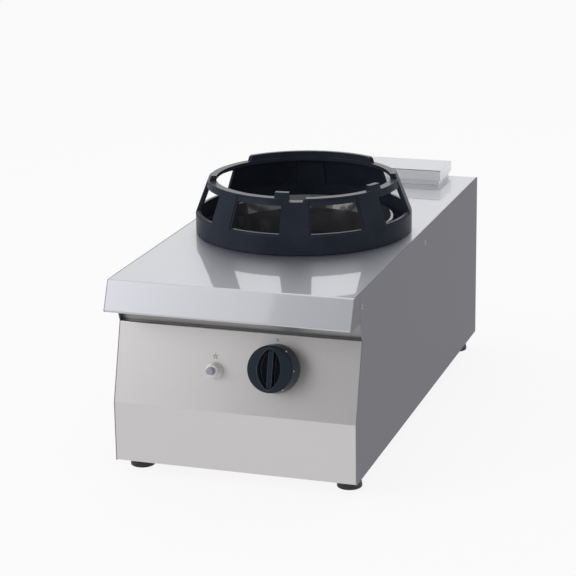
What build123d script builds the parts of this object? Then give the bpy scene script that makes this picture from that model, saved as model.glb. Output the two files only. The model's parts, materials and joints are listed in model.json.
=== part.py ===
from build123d import *
from math import cos, hypot, radians, sin
import os

os.makedirs("parts", exist_ok=True)

# A table-top gas wok range. Millimetres. +X is the right-hand side, +Y the back and +Z up.
# The origin is the middle of the footprint, on the surface that the feet stand on.

# ---------------------------------------------------------------- driving dimensions: casing
width = 400
depth = 840
worktop_height = 324
foot_height = 22
sheet = 1.5
worktop_sheet = 2
bend_radius = 3
seam = 0.6

fascia_height = 48
fascia_lean = 21.5
fascia_return = 38
fascia_lip = 12
cap_length = 49

panel_top_setback = 62
panel_top_drop = 79
panel_bend_setback = 26
panel_bend_drop = 204
panel_return = 24

flange = 25
foot_flange = 44
back_recess = 20
worktop_back_fold = 18
hole_play = 0.1
thread_gap = 0.05
edge_gap = 1
rail_setback = 10
rail_fold = 12
exhaust_slot_length = 40
exhaust_slot_width = 10
exhaust_slot_spacing_x = 48
exhaust_slot_spacing_y = 24
vent_centre = (40, 200)
vent_length = 66
vent_width = 8
vent_spacing_x = 80
vent_spacing_z = 20
tray_slot_length = 50
tray_slot_width = 10
tray_slot_spacing_x = 60
tray_slot_spacing_y = 90

# ---------------------------------------------------------------- driving dimensions: wok ring
ring_y = -20
ring_bowl_gap = 12.8
ring_band_height = 31
ring_lean = 22.5
ring_height = 89.5
ring_wall = 6.5
ring_foot_width = 16.5
ring_foot_thickness = 6
ring_foot_chamfer = 2
rim_width = 13
rim_thickness = 6
rim_edge = 2.5
pillar_azimuth = 13.1
pillar_count = 8
pillar_angle = 14.5
bay_sill = 32.5
bay_relief = 1.5
window_margin = 1
window_sill = 35
window_top = 78
closed_panel_relief = 2
notch_first = 9
notch_last = 17
notch_ramp = 2
notch_depth = 5.2
lugs = ((-66, 8), (4.75, 8.5), (66, 9), (104, 13.5))
lug_height = 98.5
lug_inset = 0.6
shield_azimuth = 191
shield_angle = 88
shield_height = 100
shield_inset = 1
shield_corner_radius = 6

# ---------------------------------------------------------------- driving dimensions: burner
bowl_opening_radius = 140
bowl_opening_gap = 1.5
bowl_rim_width = 6
bowl_rim_height = 22.7
bowl_sheet = 1.2
bowl_bend_radius = 2.5
bowl_wall_lean = 10
bowl_floor_corner = 14
bowl_corner_height = 12
bowl_depth = 58
bowl_neck_gap = 4
bowl_collar_height = 5
burner_radius = 50
burner_wall = 6
burner_top = -50
burner_chamber_height = 65
burner_flange_width = 24
burner_flange_thickness = 8
crown_overhang = 12
crown_height = 22
crown_spigot = 5
crown_inner_radius = 24
crown_wall = 4
crown_lip = 6
crown_bevel = 6
crown_web = 5
crown_slots = 40
crown_inner_slots = 16
slot_width = 2.4
slot_depth = 8
cap_thickness = 5
cap_edge = 2
cap_bevel = 5
lift_clearance = 0.3
mixer_drop = 93
mixer_boss_wall = 3
mixer_boss_length = 16
mixer_length = 130
mixer_radius = 17
mixer_bore = 12
mixer_flange_radius = 24
mixer_flange_thickness = 6
drum_radius = 25
drum_length = 40
drum_wall = 3
drum_taper = 8
air_port = 14
air_port_offset = 8
shutter_length = 18
shutter_wall = 2
running_gap = 0.08
holder_radius = 8
holder_shoulder = 4
holder_shoulder_length = 6
holder_bore = 3
holder_nose = 12
holder_tail = 16
jet_radius = 5
jet_tip_radius = 2.5
jet_length = 8
jet_tip_length = 3
jet_orifice = 0.8
bracket_depth = 60
bracket_thickness = 2
bracket_skirt = 20
bracket_tab_height = 40
bolt_radius = 3
bolt_spacing = 68
bolt_head_radius = 5.5
bolt_head_height = 4
bolt_hole_margin = 1

# ---------------------------------------------------------------- driving dimensions: controls
knob_x = 66
knob_along = 54
knob_radius = 38.5
knob_gap = 3
knob_skirt_height = 8
knob_taper = 2
knob_shoulder_height = 38
knob_height = 42
knob_corner_radius = 6
knob_wall = 4
grip_half_width = 19
grip_half_length = 33
grip_floor = 20
grip_crest = 34
grip_blade = 8
knob_bush_radius = 7
spindle_radius = 4
spindle_hole_radius = 6
push_travel = 2.5

igniter_x = -35
igniter_along = 66
igniter_flange_radius = 14
igniter_nose_radius = 10
igniter_nose_height = 15
igniter_thread_radius = 10.9
igniter_barrel_radius = 9
igniter_barrel_length = 46
button_radius = 6
button_height = 26
button_travel = 5

# ---------------------------------------------------------------- driving dimensions: gas train
pipe_radius = 10.65
pipe_bore = 8.5
manifold_drop = 36
manifold_depth = 40
manifold_right_x = 100
saddle_length = 30
saddle_wall = 4
inlet_from_side = 48.5
elbow_wall = 3.85
socket_depth = 11
feed_pipe_radius = 5
pilot_pipe_radius = 2
thermo_lead_radius = 1.5
ignition_lead_radius = 2.5
inlet_thread_radius = 10.48
inlet_thread_length = 18
inlet_relief_width = 2
inlet_relief_depth = 1

# ---------------------------------------------------------------- driving dimensions: feet, fixings
foot_from_side = 24.5
foot_from_front = 75
foot_from_back = 50
foot_pad_radius = 20
foot_pad_top_radius = 17
foot_pad_chamfer = 1
foot_pad_edge = 4
foot_stem_socket = 8
foot_stem_play = 0.5
foot_nut_height = 8
foot_nut_wall = 4.2
foot_stem_radius = 5
foot_stem_top = 52
screw_radius = 2
screw_head_radius = 4
screw_head_height = 2.4
screw_length = 9
screws_per_side = 4
screw_end_margin = 27.5
insert_bore = 2.1
insert_radius = 3.4
insert_length = 12
insert_from_front = 61
insert_spacing = 386
insert_drop = 24.5

# ---------------------------------------------------------------- driving dimensions: flue
flue_width = 300
flue_depth = 86
flue_plinth_height = 9
flue_plinth_inset = 4
flue_plinth_wall = 2
flue_height = 28
flue_fold = 12
lid_slots = 9
lid_slot_spacing = 12
lid_slot_length = 50
lid_slot_width = 5
lid_slot_x = -56
lid_fold = 8
lid_fold_gap = 0.5

# ---------------------------------------------------------------- places worked out from them
front_y = -depth / 2
back_y = depth / 2
side_inner_x = width / 2 - sheet
body_bottom = foot_height
fascia_edge_retreat = bend_radius * ((hypot(fascia_height, fascia_lean) + fascia_lean) / fascia_height - 1)
fascia_edge_y = front_y - fascia_edge_retreat
fascia_top_y = fascia_edge_y + fascia_lean
fascia_bottom = worktop_height - fascia_height
cap_seam_y = front_y + cap_length
panel_top_y = front_y + panel_top_setback
panel_top_z = worktop_height - panel_top_drop
panel_bend_y = front_y + panel_bend_setback
panel_bend_z = worktop_height - panel_bend_drop
back_panel_y = back_y - back_recess
worktop_underside = worktop_height - worktop_sheet
tray_top = body_bottom + 2 * sheet
flue_front_y = back_y - flue_depth
side_fold_front = panel_bend_y + panel_return + 2 * edge_gap
side_fold_back = back_panel_y - sheet
screw_x = side_inner_x - flange / 2
back_fold_height = worktop_underside - tray_top - 2 * edge_gap
back_fold_centre = tray_top + edge_gap + back_fold_height / 2
screw_spacing = (back_fold_height - 2 * screw_end_margin) / (screws_per_side - 1)
foot_x = side_inner_x - foot_from_side
foot_front_y = front_y + foot_from_front
foot_back_y = back_y - foot_from_back
foot_clear_radius = foot_stem_radius + foot_stem_play
insert_front_y = front_y + insert_from_front
insert_places = [(insert_front_y + step, worktop_height - insert_drop) for step in (0, insert_spacing)]
inlet_x = inlet_from_side - side_inner_x
elbow_radius = pipe_radius + elbow_wall

bowl_rim_radius = bowl_opening_radius + bowl_rim_width
bowl_skirt_radius = bowl_rim_radius + bowl_rim_width
bowl_wall_radius = bowl_opening_radius - bowl_wall_lean
bowl_floor_radius = bowl_wall_radius - bowl_floor_corner
bowl_neck_radius = burner_radius + bowl_neck_gap
burner_flange_radius = burner_radius + burner_flange_width
crown_radius = burner_radius + crown_overhang
ring_foot_inner_radius = bowl_skirt_radius + bowl_sheet + ring_bowl_gap
ring_base_radius = ring_foot_inner_radius + ring_foot_width
ring_rim_radius = ring_base_radius - ring_lean
rim_inner_radius = ring_rim_radius - rim_width

panel_slope = hypot(panel_top_y - panel_bend_y, panel_top_z - panel_bend_z)
panel_down = Vector(0, panel_bend_y - panel_top_y, panel_bend_z - panel_top_z) / panel_slope
panel_normal = Vector(0, panel_down.Z, -panel_down.Y)


def on_panel(x, along):
    """The point on the inclined panel's face at x, so far down from its top edge."""
    return Vector(x, panel_top_y, panel_top_z) + panel_down * along


def turning_plane(plane):
    """The plane through another plane's normal, for outlines of (radius, height) to revolve."""
    return Plane(origin=plane.origin, x_dir=plane.x_dir, z_dir=-plane.y_dir)


def turning_axis(plane):
    """The normal of a plane, as the axis of a turned piece."""
    return Axis(plane.origin, plane.z_dir)


knob_plane = Plane(origin=on_panel(knob_x, knob_along), x_dir=(1, 0, 0), z_dir=panel_normal)
igniter_plane = Plane(origin=on_panel(igniter_x, igniter_along), x_dir=(1, 0, 0), z_dir=panel_normal)
ring_plane = Plane(origin=(0, ring_y, worktop_height), x_dir=(1, 0, 0), z_dir=(0, 0, 1))
manifold_centre = knob_plane.origin - knob_plane.y_dir * manifold_drop - knob_plane.z_dir * manifold_depth


# ================================================================ casing

# Side panels: one flush sheet from the worktop to the base, its front edge following the fascia,
# the inclined panel and the apron. Folds at the bottom carry the feet, folds at the back the panel.
for side, side_name in ((-1, "left"), (1, "right")):
    with BuildPart() as side_panel:
        with BuildSketch(Plane.YZ.offset(side * side_inner_x)):
            with BuildLine():
                Polyline(
                    (cap_seam_y, worktop_height),
                    (back_y, worktop_height),
                    (back_y, body_bottom),
                    (panel_bend_y, body_bottom),
                    (panel_bend_y, panel_bend_z),
                    (panel_top_y, panel_top_z),
                    (cap_seam_y, fascia_bottom),
                    close=True,
                )
            make_face()
            with Locations(*insert_places):
                Circle(insert_radius, mode=Mode.SUBTRACT)
        extrude(amount=side * sheet)
        with BuildSketch(Plane.XY.offset(body_bottom)):
            with Locations((side * (side_inner_x - foot_flange / 2), (side_fold_front + side_fold_back) / 2)):
                Rectangle(foot_flange, side_fold_back - side_fold_front)
            with Locations((side * foot_x, foot_front_y), (side * foot_x, foot_back_y)):
                Circle(foot_clear_radius, mode=Mode.SUBTRACT)
        extrude(amount=sheet)
        with BuildSketch(Plane.XZ.offset(-(back_panel_y - sheet))):
            with Locations((side * screw_x, back_fold_centre)):
                Rectangle(flange, back_fold_height)
                with GridLocations(1, screw_spacing, 1, screws_per_side):
                    Circle(screw_radius + hole_play, mode=Mode.SUBTRACT)
        extrude(amount=sheet)
    side_panel.part.label = f"side_panel_{side_name}"
    export_step(side_panel.part, f"parts/side_panel_{side_name}.step")

# Fascia end caps: flat plates that close the ends of the hollow front fold, flush with the sides.
for side, side_name in ((-1, "left"), (1, "right")):
    with BuildPart() as fascia_cap:
        with BuildSketch(Plane.YZ.offset(side * side_inner_x)):
            with BuildLine():
                FilletPolyline(
                    (cap_seam_y - seam, worktop_height),
                    (fascia_top_y, worktop_height),
                    (fascia_edge_y, fascia_bottom),
                    (cap_seam_y - seam, fascia_bottom),
                    radius=bend_radius,
                )
                Line((cap_seam_y - seam, fascia_bottom), (cap_seam_y - seam, worktop_height))
            make_face()
        extrude(amount=side * sheet)
    fascia_cap.part.label = f"fascia_cap_{side_name}"
    export_step(fascia_cap.part, f"parts/fascia_cap_{side_name}.step")

# Worktop: one folded sheet with the leaning front fascia, its return and a fold at the back.
# It has the round burner opening and exhaust slots under the flue box.
with BuildPart() as worktop:
    with BuildSketch(Plane.YZ):
        with BuildLine():
            FilletPolyline(
                (back_y, worktop_height - worktop_back_fold),
                (back_y, worktop_height),
                (fascia_top_y, worktop_height),
                (fascia_edge_y, fascia_bottom),
                (fascia_edge_y + fascia_return, fascia_bottom),
                (fascia_edge_y + fascia_return, fascia_bottom + fascia_lip),
                radius=bend_radius,
            )
            offset(amount=worktop_sheet, side=Side.LEFT)
        make_face()
    extrude(amount=side_inner_x, both=True)
    with BuildSketch(Plane.XY.offset(worktop_underside)):
        with Locations((0, ring_y)):
            Circle(bowl_opening_radius)
        with Locations((0, back_y - flue_depth / 2)):
            with GridLocations(exhaust_slot_spacing_x, exhaust_slot_spacing_y, 5, 2):
                SlotOverall(exhaust_slot_length, exhaust_slot_width)
    extrude(amount=2 * worktop_sheet, mode=Mode.SUBTRACT)
worktop.part.label = "worktop"
export_step(worktop.part, "parts/worktop.step")

# Control panel: inclined face and upright apron in one folded sheet, with returns at top and bottom.
with BuildPart() as control_panel:
    with BuildSketch(Plane.YZ):
        with BuildLine():
            FilletPolyline(
                (panel_top_y + panel_return, panel_top_z),
                (panel_top_y, panel_top_z),
                (panel_bend_y, panel_bend_z),
                (panel_bend_y, body_bottom),
                (panel_bend_y + panel_return, body_bottom),
                radius=bend_radius,
            )
            offset(amount=sheet, side=Side.LEFT)
        make_face()
    extrude(amount=side_inner_x, both=True)
    with BuildSketch(knob_plane.offset(-2 * sheet)):
        Circle(spindle_hole_radius)
    extrude(amount=4 * sheet, mode=Mode.SUBTRACT)
    with BuildSketch(igniter_plane.offset(-2 * sheet)):
        Circle(igniter_thread_radius + hole_play)
    extrude(amount=4 * sheet, mode=Mode.SUBTRACT)
control_panel.part.label = "control_panel"
export_step(control_panel.part, "parts/control_panel.step")

# Front rail: the recessed channel seen through the gap between fascia and control panel. It
# stands on the panel's top return and holds up the front of the worktop.
rail_y = panel_top_y + rail_setback
with BuildPart() as front_rail:
    with BuildSketch(Plane.YZ):
        with BuildLine():
            Polyline(
                (rail_y + rail_fold, panel_top_z),
                (rail_y, panel_top_z),
                (rail_y, worktop_underside),
                (rail_y + rail_fold, worktop_underside),
            )
            offset(amount=sheet, side=Side.RIGHT)
        make_face()
    extrude(amount=side_inner_x, both=True)
front_rail.part.label = "front_rail"
export_step(front_rail.part, "parts/front_rail.step")

# Back panel: a flat sheet set in behind the rear edges of the sides, with vent slots and a hole
# for the gas inlet, held by screws to the rear folds of the sides.
back_panel_height = worktop_underside - edge_gap - tray_top
with BuildPart() as back_panel:
    with BuildSketch(Plane.XZ.offset(-back_panel_y)):
        with Locations((0, tray_top + back_panel_height / 2)):
            Rectangle(2 * side_inner_x, back_panel_height)
        with Locations((inlet_x, manifold_centre.Z)):
            Circle(inlet_thread_radius + hole_play, mode=Mode.SUBTRACT)
        with Locations(vent_centre):
            with GridLocations(vent_spacing_x, vent_spacing_z, 3, 6):
                SlotOverall(vent_length, vent_width, mode=Mode.SUBTRACT)
        for side in (-1, 1):
            with Locations((side * screw_x, back_fold_centre)):
                with GridLocations(1, screw_spacing, 1, screws_per_side):
                    Circle(screw_radius + hole_play, mode=Mode.SUBTRACT)
    extrude(amount=sheet)
back_panel.part.label = "back_panel"
export_step(back_panel.part, "parts/back_panel.step")

# Back panel screws: pan heads on the recessed face, shanks through panel and fold.
with BuildPart() as back_panel_screws:
    for side in (-1, 1):
        with BuildSketch(Plane.XZ.offset(-back_panel_y)):
            with Locations((side * screw_x, back_fold_centre)):
                with GridLocations(1, screw_spacing, 1, screws_per_side):
                    Circle(screw_head_radius)
        extrude(amount=-screw_head_height)
        with BuildSketch(Plane.XZ.offset(-back_panel_y)):
            with Locations((side * screw_x, back_fold_centre)):
                with GridLocations(1, screw_spacing, 1, screws_per_side):
                    Circle(screw_radius)
        extrude(amount=screw_length)
back_panel_screws.part.label = "back_panel_screws"
export_step(back_panel_screws.part, "parts/back_panel_screws.step")

# Base tray: the slotted floor of the body, lying on the bottom folds of sides and apron.
tray_front_y = panel_bend_y + bend_radius
tray_length = back_panel_y - tray_front_y
with BuildPart() as base_tray:
    with BuildSketch(Plane.XY.offset(body_bottom + sheet)):
        with Locations((0, tray_front_y + tray_length / 2)):
            Rectangle(2 * side_inner_x, tray_length)
            with GridLocations(tray_slot_spacing_x, tray_slot_spacing_y, 4, 6):
                SlotOverall(tray_slot_length, tray_slot_width, rotation=90, mode=Mode.SUBTRACT)
        for side in (-1, 1):
            with Locations((side * foot_x, foot_front_y), (side * foot_x, foot_back_y)):
                Circle(foot_clear_radius, mode=Mode.SUBTRACT)
    extrude(amount=sheet)
base_tray.part.label = "base_tray"
export_step(base_tray.part, "parts/base_tray.step")

# Joining inserts: four threaded rivet nuts in the sides, flush outside, for bolting to a neighbour.
with BuildPart() as joining_inserts:
    for side in (-1, 1):
        with BuildSketch(Plane.YZ.offset(side * width / 2)):
            with Locations(*insert_places):
                Circle(insert_radius)
                Circle(insert_bore, mode=Mode.SUBTRACT)
        extrude(amount=-side * insert_length)
joining_inserts.part.label = "joining_inserts"
export_step(joining_inserts.part, "parts/joining_inserts.step")


# ================================================================ feet

# Levelling feet: moulded pads on steel stems, screwed right in at rest. The stems turn in hex
# nuts that are welded on the base tray.
for side, side_name in ((-1, "left"), (1, "right")):
    for foot_y, end_name in ((foot_front_y, "front"), (foot_back_y, "back")):
        foot_plane = Plane(origin=(side * foot_x, foot_y, 0), x_dir=(1, 0, 0), z_dir=(0, 0, 1))
        with BuildPart() as foot:
            with BuildSketch(turning_plane(foot_plane)):
                with BuildLine():
                    Polyline(
                        (0, 0),
                        (foot_pad_radius - foot_pad_chamfer, 0),
                        (foot_pad_radius, foot_pad_chamfer),
                        (foot_pad_radius, foot_pad_edge),
                        (foot_pad_top_radius, foot_height),
                        (foot_stem_radius + thread_gap, foot_height),
                        (foot_stem_radius + thread_gap, foot_stem_socket - thread_gap),
                        (0, foot_stem_socket - thread_gap),
                        close=True,
                    )
                make_face()
            revolve(axis=turning_axis(foot_plane))
            with BuildSketch(foot_plane.offset(foot_stem_socket)):
                Circle(foot_stem_radius)
            extrude(amount=foot_stem_top - foot_stem_socket)
        foot.part.label = f"foot_{end_name}_{side_name}"
        export_step(foot.part, f"parts/foot_{end_name}_{side_name}.step")

with BuildPart() as foot_nuts:
    with BuildSketch(Plane.XY.offset(tray_top)):
        for side in (-1, 1):
            with Locations((side * foot_x, foot_front_y), (side * foot_x, foot_back_y)):
                RegularPolygon(foot_stem_radius + foot_nut_wall, 6)
                Circle(foot_stem_radius + thread_gap, mode=Mode.SUBTRACT)
    extrude(amount=foot_nut_height)
foot_nuts.part.label = "foot_nuts"
export_step(foot_nuts.part, "parts/foot_nuts.step")


# ================================================================ flue box

# Flue plinth: a low frame set in under the box, which gives the dark line at its foot.
flue_centre = (0, flue_front_y + flue_depth / 2)
with BuildPart() as flue_plinth:
    with BuildSketch(Plane.XY.offset(worktop_height)):
        with Locations(flue_centre):
            Rectangle(flue_width - 2 * flue_plinth_inset, flue_depth - 2 * flue_plinth_inset)
            Rectangle(
                flue_width - 2 * flue_plinth_inset - 2 * flue_plinth_wall,
                flue_depth - 2 * flue_plinth_inset - 2 * flue_plinth_wall,
                mode=Mode.SUBTRACT,
            )
    extrude(amount=flue_plinth_height)
flue_plinth.part.label = "flue_plinth"
export_step(flue_plinth.part, "parts/flue_plinth.step")

# Flue cover: the upright walls of the box, with a narrow inner fold that rests on the plinth.
lid_seam_height = flue_height - sheet
with BuildPart() as flue_cover:
    with BuildSketch(Plane.XY.offset(worktop_height + flue_plinth_height)):
        with Locations(flue_centre):
            Rectangle(flue_width, flue_depth)
            Rectangle(flue_width - 2 * sheet, flue_depth - 2 * sheet, mode=Mode.SUBTRACT)
    extrude(amount=lid_seam_height - flue_plinth_height)
    with BuildSketch(Plane.XY.offset(worktop_height + flue_plinth_height)):
        with Locations(flue_centre):
            Rectangle(flue_width, flue_depth)
            Rectangle(flue_width - 2 * flue_fold, flue_depth - 2 * flue_fold, mode=Mode.SUBTRACT)
    extrude(amount=sheet)
flue_cover.part.label = "flue_cover"
export_step(flue_cover.part, "parts/flue_cover.step")

# Flue lid: the flat top plate with its exhaust slots behind the ring's shield and a locating fold
# below.
lid_fold_outer = 2 * (sheet + lid_fold_gap)
with BuildPart() as flue_lid:
    with BuildSketch(Plane.XY.offset(worktop_height + lid_seam_height)):
        with Locations(flue_centre):
            Rectangle(flue_width, flue_depth)
        with Locations((lid_slot_x, flue_centre[1])):
            with GridLocations(lid_slot_spacing, 1, lid_slots, 1):
                SlotOverall(lid_slot_length, lid_slot_width, rotation=90, mode=Mode.SUBTRACT)
    extrude(amount=sheet)
    with BuildSketch(Plane.XY.offset(worktop_height + lid_seam_height)):
        with Locations(flue_centre):
            Rectangle(flue_width - lid_fold_outer, flue_depth - lid_fold_outer)
            Rectangle(
                flue_width - lid_fold_outer - 2 * sheet,
                flue_depth - lid_fold_outer - 2 * sheet,
                mode=Mode.SUBTRACT,
            )
    extrude(amount=-lid_fold)
flue_lid.part.label = "flue_lid"
export_step(flue_lid.part, "parts/flue_lid.step")


# ================================================================ wok ring

# The ring stands on the worktop round the bowl. Heights in this section are above the worktop,
# and azimuths are counted from the front, positive towards the right-hand side.


def ring_section(azimuth):
    """The upright plane through the ring's axis that faces an azimuth, its X running outwards."""
    outwards = (sin(radians(azimuth)), -cos(radians(azimuth)), 0)
    sideways = (-cos(radians(azimuth)), -sin(radians(azimuth)), 0)
    return Plane(origin=ring_plane.origin, x_dir=outwards, z_dir=sideways)


ring_taper = ring_lean / (ring_height - ring_band_height)


def cone_radius(height):
    """Outer radius of the ring's sloping wall at a height."""
    return ring_base_radius - (height - ring_band_height) * ring_taper


def pie_slice(azimuth, angle, reach):
    """Corners of a triangular slice of the ring's plan, centred on an azimuth."""
    corner = reach / cos(radians(angle / 2))
    first = radians(azimuth - angle / 2 - 90)
    last = radians(azimuth + angle / 2 - 90)
    return (0, 0), (corner * cos(first), corner * sin(first)), (corner * cos(last), corner * sin(last))


def band_outline(first_height, last_height, inside, outside):
    """Outline of a band that follows the sloping wall, so far to the inside and outside of its face."""
    return Polyline(
        (cone_radius(first_height) - inside, first_height),
        (cone_radius(first_height) + outside, first_height),
        (cone_radius(last_height) + outside, last_height),
        (cone_radius(last_height) - inside, last_height),
        close=True,
    )


def raised_outline(inset, height):
    """Outline of a raised part of the rim, set in a little from its inner and outer edges."""
    return Polyline(
        (rim_inner_radius + inset, rim_underside),
        (cone_radius(rim_underside) - inset, rim_underside),
        (cone_radius(height) - inset, height),
        (rim_inner_radius + inset, height),
        close=True,
    )


pillar_pitch = 360 / pillar_count
bay_angle = pillar_pitch - pillar_angle
window_angle = bay_angle - 2 * window_margin
rim_underside = ring_height - rim_thickness
closed_azimuth = pillar_azimuth + 180
closed_bays = [closed_azimuth - pillar_pitch / 2, closed_azimuth + pillar_pitch / 2]
open_bays = [pillar_azimuth + pillar_pitch * (index + 0.5) for index in range(-3, 3)]

with BuildPart() as wok_ring:
    with BuildSketch(ring_section(0)):
        with BuildLine():
            Polyline(
                (ring_foot_inner_radius, 0),
                (ring_base_radius - ring_foot_chamfer, 0),
                (ring_base_radius, ring_foot_chamfer),
                (ring_base_radius, ring_band_height),
                (ring_rim_radius, ring_height),
                (rim_inner_radius, ring_height),
                (rim_inner_radius, rim_underside),
                (cone_radius(rim_underside) - ring_wall, rim_underside),
                (ring_base_radius - ring_wall, ring_band_height),
                (ring_base_radius - ring_wall, ring_foot_thickness),
                (ring_foot_inner_radius, ring_foot_thickness),
                close=True,
            )
        make_face()
    revolve(axis=turning_axis(ring_plane))
    # Every bay between two pillars is set back from the pillars' faces, below the rim's edge.
    for azimuth in open_bays + closed_bays:
        with BuildSketch(ring_section(azimuth - bay_angle / 2)):
            with BuildLine():
                band_outline(bay_sill, ring_height - rim_edge, bay_relief, bay_relief)
            make_face()
        revolve(axis=turning_axis(ring_plane), revolution_arc=bay_angle, mode=Mode.SUBTRACT)
    # Open windows through the wall of the bays.
    for azimuth in open_bays:
        with BuildSketch(ring_plane.offset(window_sill)):
            Polygon(*pie_slice(azimuth, window_angle, ring_base_radius), align=None)
        extrude(amount=window_top - window_sill, mode=Mode.SUBTRACT)
    # The closed bays under the shield are hollowed from the inside.
    for azimuth in closed_bays:
        with BuildSketch(ring_section(azimuth - window_angle / 2)):
            with BuildLine():
                band_outline(window_sill, window_top, ring_wall + 1, closed_panel_relief - ring_wall)
            make_face()
        revolve(axis=turning_axis(ring_plane), revolution_arc=window_angle, mode=Mode.SUBTRACT)
    # One notch in the rim beside the front lug, with a ramp at its right end.
    notch_middle = (notch_first + notch_last) / 2
    notch_half = ring_rim_radius * sin(radians((notch_last - notch_first) / 2))
    ramp_end = ring_rim_radius * sin(radians(notch_last + notch_ramp - notch_middle))
    outwards = ring_section(notch_middle).x_dir
    notch_plane = Plane(
        origin=ring_plane.origin + outwards * (rim_inner_radius - ring_wall),
        x_dir=ring_section(notch_middle).z_dir * -1,
        z_dir=outwards,
    )
    with BuildSketch(notch_plane):
        with BuildLine():
            Polyline(
                (-notch_half, ring_height - notch_depth),
                (notch_half, ring_height - notch_depth),
                (ramp_end, ring_height),
                (ramp_end, ring_height + rim_thickness),
                (-notch_half, ring_height + rim_thickness),
                close=True,
            )
        make_face()
    extrude(amount=ring_base_radius - rim_inner_radius, mode=Mode.SUBTRACT)
    # Pan lugs on the rim.
    for azimuth, angle in lugs:
        with BuildSketch(ring_section(azimuth - angle / 2)):
            with BuildLine():
                raised_outline(lug_inset, lug_height)
            make_face()
        revolve(axis=turning_axis(ring_plane), revolution_arc=angle)
    # The raised shield along the back of the rim, rounded at its two ends.
    with BuildSketch(ring_section(shield_azimuth - shield_angle / 2)):
        with BuildLine():
            raised_outline(shield_inset, shield_height)
        make_face()
    revolve(axis=turning_axis(ring_plane), revolution_arc=shield_angle)
    shield_top = worktop_height + shield_height
    top_edges = wok_ring.edges().filter_by_position(Axis.Z, shield_top, shield_top)
    fillet(top_edges.filter_by(GeomType.LINE), radius=shield_corner_radius)
wok_ring.part.label = "wok_ring"
export_step(wok_ring.part, "parts/wok_ring.step")


# ================================================================ bowl and burner

# Spill bowl: a deep drawn dish whose raised rim stands on the worktop round the opening, with a
# collar round the burner's neck and an oval hole for the pilot group.
pilot_azimuth = -50
pilot_standoff = 8
pilot_radius = burner_flange_radius + pilot_standoff
pilot_spacing = 14
pilot_hole_width = 16
bowl_floor = worktop_height - bowl_depth
bowl_underside = -bowl_depth - bowl_sheet


def beside_burner(radius, sideways, z):
    """A point at the pilot group's azimuth: so far out from the burner's axis and to its side."""
    angle = radians(pilot_azimuth)
    return Vector(
        radius * sin(angle) + sideways * cos(angle),
        ring_y - radius * cos(angle) + sideways * sin(angle),
        z,
    )


pilot_plane = Plane(
    origin=beside_burner(pilot_radius, 0, bowl_floor - 2 * bowl_sheet),
    x_dir=beside_burner(0, 1, 0) - beside_burner(0, 0, 0),
    z_dir=(0, 0, 1),
)
with BuildPart() as spill_bowl:
    with BuildSketch(ring_section(0)):
        with BuildLine():
            FilletPolyline(
                (bowl_skirt_radius, 0),
                (bowl_skirt_radius, bowl_rim_height - bowl_sheet),
                (bowl_rim_radius, bowl_rim_height - bowl_sheet),
                (bowl_opening_radius - bowl_opening_gap, 0),
                (bowl_wall_radius, bowl_corner_height - bowl_depth),
                (bowl_floor_radius, bowl_underside),
                (bowl_neck_radius, bowl_underside),
                (bowl_neck_radius, bowl_underside + bowl_sheet + bowl_collar_height),
                radius=bowl_bend_radius,
            )
            offset(amount=bowl_sheet, side=Side.RIGHT)
        make_face()
    revolve(axis=turning_axis(ring_plane))
    with BuildSketch(pilot_plane):
        SlotOverall(2 * pilot_spacing + pilot_hole_width, pilot_hole_width)
    extrude(amount=4 * bowl_sheet, mode=Mode.SUBTRACT)
spill_bowl.part.label = "spill_bowl"
export_step(spill_bowl.part, "parts/spill_bowl.step")

# Burner body: a cast chamber open at the top, with the flange that carries the bowl's floor and
# a boss at the front for the mixer tube. It stands on the bracket.
burner_bottom = burner_top - burner_chamber_height
chamber_radius = burner_radius - burner_wall
mixer_plane = Plane(
    origin=(0, ring_y, worktop_height - mixer_drop), x_dir=(1, 0, 0), z_dir=(0, -1, 0)
)
mixer_start = burner_radius + mixer_boss_length
with BuildPart() as burner_body:
    with BuildSketch(ring_section(0)):
        with BuildLine():
            Polyline(
                (0, burner_bottom),
                (burner_radius, burner_bottom),
                (burner_radius, bowl_underside - burner_flange_thickness),
                (burner_flange_radius, bowl_underside - burner_flange_thickness),
                (burner_flange_radius, bowl_underside),
                (burner_radius, bowl_underside),
                (burner_radius, burner_top),
                (chamber_radius, burner_top),
                (chamber_radius, burner_bottom + burner_wall),
                (0, burner_bottom + burner_wall),
                close=True,
            )
        make_face()
    revolve(axis=turning_axis(ring_plane))
    with BuildSketch(mixer_plane.offset(chamber_radius + 1)):
        Circle(mixer_radius + mixer_boss_wall)
    extrude(amount=mixer_start - chamber_radius - 1)
    with BuildSketch(mixer_plane.offset(chamber_radius - burner_wall)):
        Circle(mixer_bore)
    extrude(amount=mixer_start, mode=Mode.SUBTRACT)
    with BuildSketch(ring_plane.offset(burner_bottom)):
        with GridLocations(bolt_spacing, 1, 2, 1):
            Circle(bolt_radius + hole_play)
    extrude(amount=burner_wall - bolt_hole_margin, mode=Mode.SUBTRACT)
burner_body.part.label = "burner_body"
export_step(burner_body.part, "parts/burner_body.step")

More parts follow.
